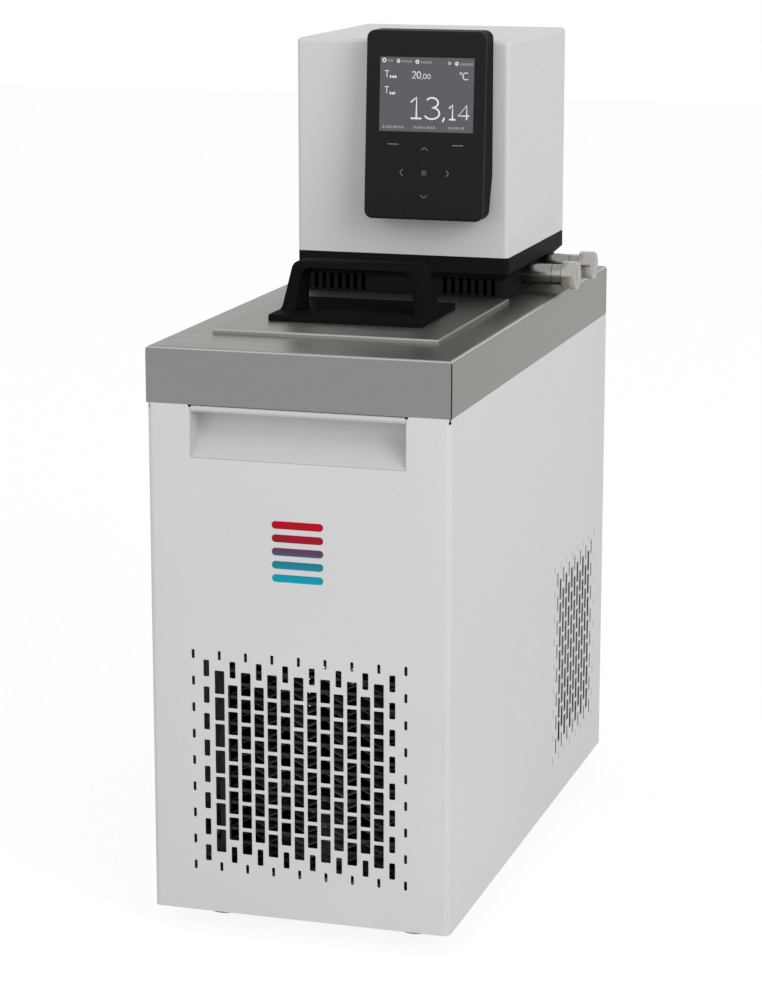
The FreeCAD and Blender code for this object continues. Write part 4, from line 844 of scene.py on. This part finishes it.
# %% Model the closing caps
def cap_contour(outer, mouth):
    """Places along X in metres and radii in millimetres, from the outer end to the bore."""
    return [
        (outer, 8.6), (outer - 0.25 * MM, 9.2), (outer - 0.7 * MM, 9.55), (outer - 1.3 * MM, 9.7),
        (mouth + 7.7 * MM, 9.7), (mouth + 7.3 * MM, 9.4), (mouth + 7.3 * MM, 7.3),
        (mouth + 0.35 * MM, 7.3), (mouth, 6.9), (mouth, 6.2), (mouth + 11.2 * MM, 6.2),
    ]


for place in ("front", "rear"):
    low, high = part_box("outlet_cap_" + place)
    middle = (low + high) / 2
    steps = [(x, radius, radius) for x, radius in cap_contour(high.x, low.x)]
    clear_selection()
    bpy.ops.mesh.primitive_circle_add(
        vertices=64, radius=steps[0][1] * MM, fill_type="NGON", rotation=(0, pi / 2, 0),
        location=(high.x, middle.y, middle.z),
    )
    cap = bpy.context.object
    cap.name = "closing_cap_" + place
    settle(cap)
    grow(cap, steps, "X", middle)
    smooth(cap)
    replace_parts(finished(cap, steel_turned, place + "_cap"), "outlet_cap_" + place)
    # The flat outer end takes the darker faced steel, which paints shade onto it.
    cap.data.materials.append(steel_faced_painted_shade)
    for face in cap.data.polygons:
        if face.normal.x > 0.99 and face.center.x > high.x - 0.1 * MM:
            face.material_index = 1

# %% [markdown]
# ## Temperature bars on the front
# A small printed mark sits on the front: five round-ended bars that fade from a warm red at the
# top to a cool teal at the bottom. The mark is a plain pictogram for heating and cooling. Each
# bar is a thin rounded plate, and the colour is a ramp along the height.

# %% Colour ramp of the bars
ramp_low, ramp_high = 238.4 * MM, 277.8 * MM
warm_to_cool = Finish("warm_to_cool", (0.4, 0.1, 0.1), 0.4, specular=0.05)
heights = warm_to_cool.node("ShaderNodeSeparateXYZ")
warm_to_cool.link(warm_to_cool.place, heights.inputs["Vector"])
share = warm_to_cool.node("ShaderNodeMapRange")
share.inputs["From Min"].default_value = ramp_low
share.inputs["From Max"].default_value = ramp_high
warm_to_cool.link(heights.outputs["Z"], share.inputs["Value"])
ramp = warm_to_cool.node("ShaderNodeValToRGB")
ramp.color_ramp.elements[0].color = (0.0, 0.36, 0.50, 1)
ramp.color_ramp.elements[1].color = (0.52, 0.0, 0.012, 1)
between_ends = {0.35: (0.02, 0.20, 0.27, 1), 0.5: (0.10, 0.06, 0.12, 1), 0.65: (0.30, 0.01, 0.03, 1)}
for position, color in between_ends.items():
    ramp.color_ramp.elements.new(position).color = color
warm_to_cool.link(share.outputs["Result"], ramp.inputs["Fac"])
grain = warm_to_cool.between(warm_to_cool.noise(warm_to_cool.place, 1500.0, 2.0), 0.0, 0.02)
warm_to_cool.color(warm_to_cool.mixed(grain, ramp.outputs["Color"], (0.5, 0.5, 0.5)))
print("ramp from", ramp_low, "to", ramp_high)

# %% Print the temperature bars
bars = []
half_length, half_width, bar_pitch = 17 * MM, 2.5 * MM, 8.6 * MM
for index in range(5):
    middle_z = ramp_low + half_width + index * bar_pitch
    bar = block(
        "bar", (cover_middle - half_length, front_y - 0.06 * MM, middle_z - half_width),
        (cover_middle + half_length, front_y + 0.2 * MM, middle_z + half_width),
    )
    round_edges(bar, lambda a, b: abs(a.x - b.x) < 1e-7 and abs(a.z - b.z) < 1e-7, 2.45 * MM, 8)
    bars.append(bar)
finished(joined(bars, "temperature_bars"), warm_to_cool.material)

# %% [markdown]
# ## Marks on the control panel
# The marks are drawn flat, X across and Y up the panel, with Z out of its face. One helper then
# turns them by the panel's lean and moves them to the middle of its lower edge.

# %% Panel helpers
def onto_panel(obj, behind=0.0):
    """Turns a flat drawing onto the panel's face."""
    obj.rotation_euler = (pi / 2 - panel_lean, 0, 0)
    obj.location = face_foot + Vector((0, cos(panel_lean), -sin(panel_lean))) * behind
    return settle(obj)


def plate(name, x0, x1, y0, y1):
    """A thin flat plate in millimetres on the panel."""
    sunk, proud = -0.05 * MM, 0.03 * MM
    return block(name, (x0 * MM, y0 * MM, sunk), (x1 * MM, y1 * MM, proud))


def chevron(name, x, y, quarter_turns, reach=2.2, rise=1.9, stroke=0.45):
    """An arrowhead: two short strokes that meet at a point."""
    strokes = []
    for side in (-1, 1):
        length = (reach**2 + rise**2) ** 0.5
        bar = plate(name, 0, length, -stroke / 2, stroke / 2)
        bar.rotation_euler = (0, 0, atan2(-rise, side * reach))
        strokes.append(settle(bar))
    mark = joined(strokes, name)
    mark.rotation_euler = (0, 0, quarter_turns * pi / 2)
    mark.location = (x * MM, y * MM, 0)
    return settle(mark)


# %% [markdown]
# The window lies a little lower than the key film around it.

# %% Depth of the window
screen_depth = 0.2 * MM
print("window", screen_depth, "behind the film")

# %% [markdown]
# The key film carries two soft-key dashes, four arrowheads and a small grid in the middle.

# %% Key marks
mark_grey = grained("mark_grey", (0.19, 0.19, 0.195), 0.5, 900.0, 0.00001)
dim_grey = grained("dim_grey", (0.10, 0.10, 0.102), 0.5, 900.0, 0.00001)
key_marks = [
    plate("dash_left", -25.7, -18.1, 50.4, 50.95),
    plate("dash_right", 19.8, 27.3, 50.5, 51.05),
    chevron("arrow_up", 0.4, 48.9, 0),
    chevron("arrow_left", -16.6, 31.7, 1),
    chevron("arrow_down", 0.5, 15.0, 2),
    chevron("arrow_right", 17.6, 31.9, 3),
]
finished(onto_panel(joined(key_marks, "key_marks")), mark_grey)
grid = []
grid_x, grid_y, grid_pitch, field = -1.3, 30.2, 1.2, 0.85
for column in range(3):
    for row in range(3):
        x, y = grid_x + column * grid_pitch, grid_y + row * grid_pitch
        grid.append(plate("grid_field", x, x + field, y, y + field))
finished(onto_panel(joined(grid, "grid_key")), dim_grey)

# %% [markdown]
# The display reads a set value and a bath temperature. Its signs are thin strokes, as on a real
# display, so each sign is a path or two in a unit box. A curve with a round bevel follows the
# path, it is stretched to the sign's own box, made a mesh and pressed flat.

# %% Signs of the display
def arc(x, y, across, up, start, end, steps=18):
    turns = [radians(start + (end - start) * i / steps) for i in range(steps + 1)]
    return [(x + across * cos(a), y + up * sin(a)) for a in turns]


signs = {
    "0": [arc(0.5, 0.5, 0.5, 0.5, 90, 450, 28)],
    "1": [[(0.0, 0.77), (0.52, 1.0), (0.52, 0.0)], [(0.02, 0.0), (1.0, 0.0)]],
    "2": [arc(0.5, 0.72, 0.46, 0.28, 165, -30) + [(0.0, 0.0), (1.0, 0.0)]],
    "3": [arc(0.46, 0.765, 0.42, 0.235, 150, -85) + arc(0.44, 0.27, 0.54, 0.27, 85, -155)],
    "4": [[(0.76, 0.0), (0.76, 1.0), (0.0, 0.27), (1.0, 0.27)]],
    ",": [[(1.0, 1.0), (0.0, 0.0)]],
    "C": [arc(0.56, 0.5, 0.56, 0.5, 52, 308, 24)],
    "ring": [arc(0.5, 0.5, 0.5, 0.5, 90, 450, 16)],
    "T": [[(0.0, 1.0), (1.0, 1.0)], [(0.5, 1.0), (0.5, 0.0)]],
}


def sign(key, x0, x1, y0, y1, stroke):
    """A stroked sign in millimetres on the panel, stretched to the box x0..x1, y0..y1."""
    clear_selection()
    data = bpy.data.curves.new("sign", "CURVE")
    data.dimensions = "3D"
    data.bevel_depth = stroke / 2 * MM
    data.bevel_resolution = 1
    data.use_fill_caps = True
    for path in signs[key]:
        line = data.splines.new("POLY")
        line.points.add(len(path) - 1)
        for point, (u, v) in zip(line.points, path):
            point.co = ((x0 + u * (x1 - x0)) * MM, (y0 + v * (y1 - y0)) * MM, 0, 1)
    drawn = bpy.data.objects.new("sign", data)
    bpy.context.scene.collection.objects.link(drawn)
    only(drawn)
    bpy.ops.object.convert(target="MESH")
    drawn = bpy.context.object
    pressed = 0.06
    drawn.scale = (1, 1, pressed / stroke)
    return settle(drawn)


print(len(signs), "signs to draw with")

# %% Read-outs of the display
proud = screen_depth - 0.02 * MM
reading = [
    sign("1", -9.9, -2.2, 68.2, 82.2, 1.3),
    sign("3", 0.4, 10.4, 68.0, 82.2, 1.3),
    sign(",", 12.5, 13.7, 66.3, 69.2, 1.3),
    sign("1", 16.9, 21.6, 68.0, 77.7, 1.15),
    sign("4", 23.4, 31.0, 68.0, 77.7, 1.15),
    sign("2", -9.3, -6.7, 95.0, 99.4, 0.65),
    sign("0", -5.9, -3.4, 95.0, 99.4, 0.65),
    sign(",", -2.7, -2.3, 94.2, 95.2, 0.5),
    sign("0", -1.5, 0.5, 94.8, 97.9, 0.45),
    sign("0", 1.4, 3.4, 94.8, 97.9, 0.45),
    sign("ring", 23.9, 25.2, 98.2, 99.6, 0.4),
    sign("C", 26.0, 30.0, 94.7, 99.3, 0.65),
]
finished(onto_panel(joined(reading, "reading"), proud), display_white)

# %% [markdown]
# The rows of status and key labels are only hinted at: small blocks at the rhythm of short words
# stand for them, so that no wording is needed.

# %% Rows of the display
def word(x0, x1, y0, y1, blocks):
    """Blocks with small gaps at the rhythm of a word."""
    step = (x1 - x0) / blocks
    made = []
    for i in range(blocks):
        width = step * (0.74 if i % 3 else 0.62)
        made.append(plate("block", x0 + i * step, x0 + i * step + width, y0, y1 - 0.25 * (i % 2)))
    return made


labels = [
    *word(-26.4, -22.6, 105.6, 107.3, 3), *word(-16.8, -9.5, 105.3, 107.0, 5),
    *word(-3.2, 4.5, 104.9, 106.6, 5), *word(24.1, 33.2, 104.0, 105.8, 5),
    *word(-29.6, -14.0, 61.3, 63.2, 8), *word(-7.6, 8.2, 61.4, 63.2, 7),
    *word(16.8, 28.2, 61.5, 63.3, 5),
]
label_rows = onto_panel(joined(labels, "label_rows"), screen_depth - 0.03 * MM)
finished(label_rows, display_dim)
icons = [
    sign("T", -28.5, -25.5, 95.4, 99.6, 0.6), sign("T", -28.5, -25.5, 84.6, 88.9, 0.6),
    sign("ring", -30.2, -27.9, 105.5, 107.8, 0.9), sign("ring", -19.9, -18.3, 105.3, 107.3, 0.8),
    sign("ring", -6.8, -4.9, 104.9, 107.0, 0.9), sign("ring", 15.8, 17.4, 104.6, 106.2, 0.4),
    sign("ring", 20.8, 22.4, 104.2, 106.2, 0.9),
    *word(-24.9, -19.9, 94.9, 96.6, 3), *word(-24.9, -20.8, 83.9, 85.6, 3),
]
finished(onto_panel(joined(icons, "status_icons"), proud), display_white)

# %% [markdown]
# ## Floor and backdrop
# The floor is pale and plain. The camera and mirror-like surfaces see it white, as a strength of
# one is white, and it keeps a soft share of the shadow under the machine. Diffuse light sees an
# ordinary pale floor, so the machine is lit at a plain level.

# %% What sees the white
def seen_white(tree):
    """1 for the camera, for mirrors and for clear glass, and 0 for all other light."""
    ray = tree.nodes.new("ShaderNodeLightPath")
    result = ray.outputs["Is Camera Ray"]
    for kind in ("Is Glossy Ray", "Is Transmission Ray"):
        either = tree.nodes.new("ShaderNodeMath")
        either.operation = "MAXIMUM"
        tree.links.new(result, either.inputs[0])
        tree.links.new(ray.outputs[kind], either.inputs[1])
        result = either.outputs[0]
    return result


print("one helper for the floor and the world")

# %% Floor
clear_selection()
floor_size, floor_z = 12, -0.2 * MM
bpy.ops.mesh.primitive_plane_add(size=floor_size, location=(0, 0, floor_z))
floor = bpy.context.object
floor.name = "floor"
floor_finish = bpy.data.materials.new("pale_floor")
floor_finish.use_nodes = True
tree = floor_finish.node_tree
tree.nodes.clear()
matte = tree.nodes.new("ShaderNodeBsdfDiffuse")
matte.inputs["Color"].default_value = (0.62, 0.62, 0.62, 1)
shade = tree.nodes.new("ShaderNodeBsdfDiffuse")
shade.inputs["Color"].default_value = (0.16, 0.16, 0.16, 1)
glow = tree.nodes.new("ShaderNodeEmission")
glow.inputs["Strength"].default_value = 0.88
white_floor = tree.nodes.new("ShaderNodeAddShader")
tree.links.new(shade.outputs[0], white_floor.inputs[0])
tree.links.new(glow.outputs[0], white_floor.inputs[1])
choice = tree.nodes.new("ShaderNodeMixShader")
tree.links.new(seen_white(tree), choice.inputs["Fac"])
tree.links.new(matte.outputs[0], choice.inputs[1])
tree.links.new(white_floor.outputs[0], choice.inputs[2])
output = tree.nodes.new("ShaderNodeOutputMaterial")
tree.links.new(choice.outputs[0], output.inputs["Surface"])
floor.data.materials.append(floor_finish)
print("floor ready")

# %% [markdown]
# The world is the room around the machine. It gives an even, soft light from all sides, which is
# dimmer than the white that the camera sees behind the machine.

# %% World
world = bpy.data.worlds.new("studio")
bpy.context.scene.world = world
world.use_nodes = True
tree = world.node_tree
tree.nodes.clear()
strength = tree.nodes.new("ShaderNodeMapRange")
strength.inputs["To Min"].default_value = 0.66
strength.inputs["To Max"].default_value = 1.0
tree.links.new(seen_white(tree), strength.inputs["Value"])
background = tree.nodes.new("ShaderNodeBackground")
background.inputs["Color"].default_value = (1, 1, 1, 1)
tree.links.new(strength.outputs["Result"], background.inputs["Strength"])
output = tree.nodes.new("ShaderNodeOutputWorld")
tree.links.new(background.outputs[0], output.inputs["Surface"])
print("world ready")

# %% [markdown]
# ## Lamps
# The main lamp stands at the front right, a little above the machine. A weak one at the front
# left opens the shadows. Mirror-like surfaces don't see them, so they leave no square glint.

# %% Lamps
def lamp(name, place, target, size, power):
    clear_selection()
    bpy.ops.object.light_add(type="AREA", location=place)
    made = bpy.context.object
    made.name = name
    made.data.shape = "SQUARE"
    made.data.size = size
    made.data.energy = power
    made.visible_glossy = False
    aim = Vector(target) - Vector(place)
    made.rotation_euler = aim.to_track_quat("-Z", "Y").to_euler()
    return made


machine_middle = (0, 0, 0.3)
lamp("front_lamp", (-0.6, -2.6, 1.0), machine_middle, 1.8, 9)
lamp("side_lamp", (2.2, -1.8, 1.6), machine_middle, 1.5, 32)

# %% [markdown]
# ## Camera
# The camera stands two metres away at the front right, a little higher than the head, and looks
# down at the machine through a long lens, as a product photographer's does.

# %% Camera
camera_place, look_down, look_left = (0.5620, -1.90665, 0.6938), radians(12.586), radians(16.923)
camera_data = bpy.data.cameras.new("camera")
camera = bpy.data.objects.new("camera", camera_data)
bpy.context.scene.collection.objects.link(camera)
camera_data.sensor_width = 36
camera_data.lens = 106.61
camera.location = camera_place
camera.rotation_euler = (pi / 2 - look_down, 0, look_left)
camera_data.clip_end = 50
bpy.context.scene.camera = camera
bpy.context.scene.view_settings.view_transform = "Standard"
print("camera ready")

# %% [markdown]
# ## Finish
# The selection is cleared and the scene is brought up to date.

# %% Finish
clear_selection()
bpy.context.view_layer.update()
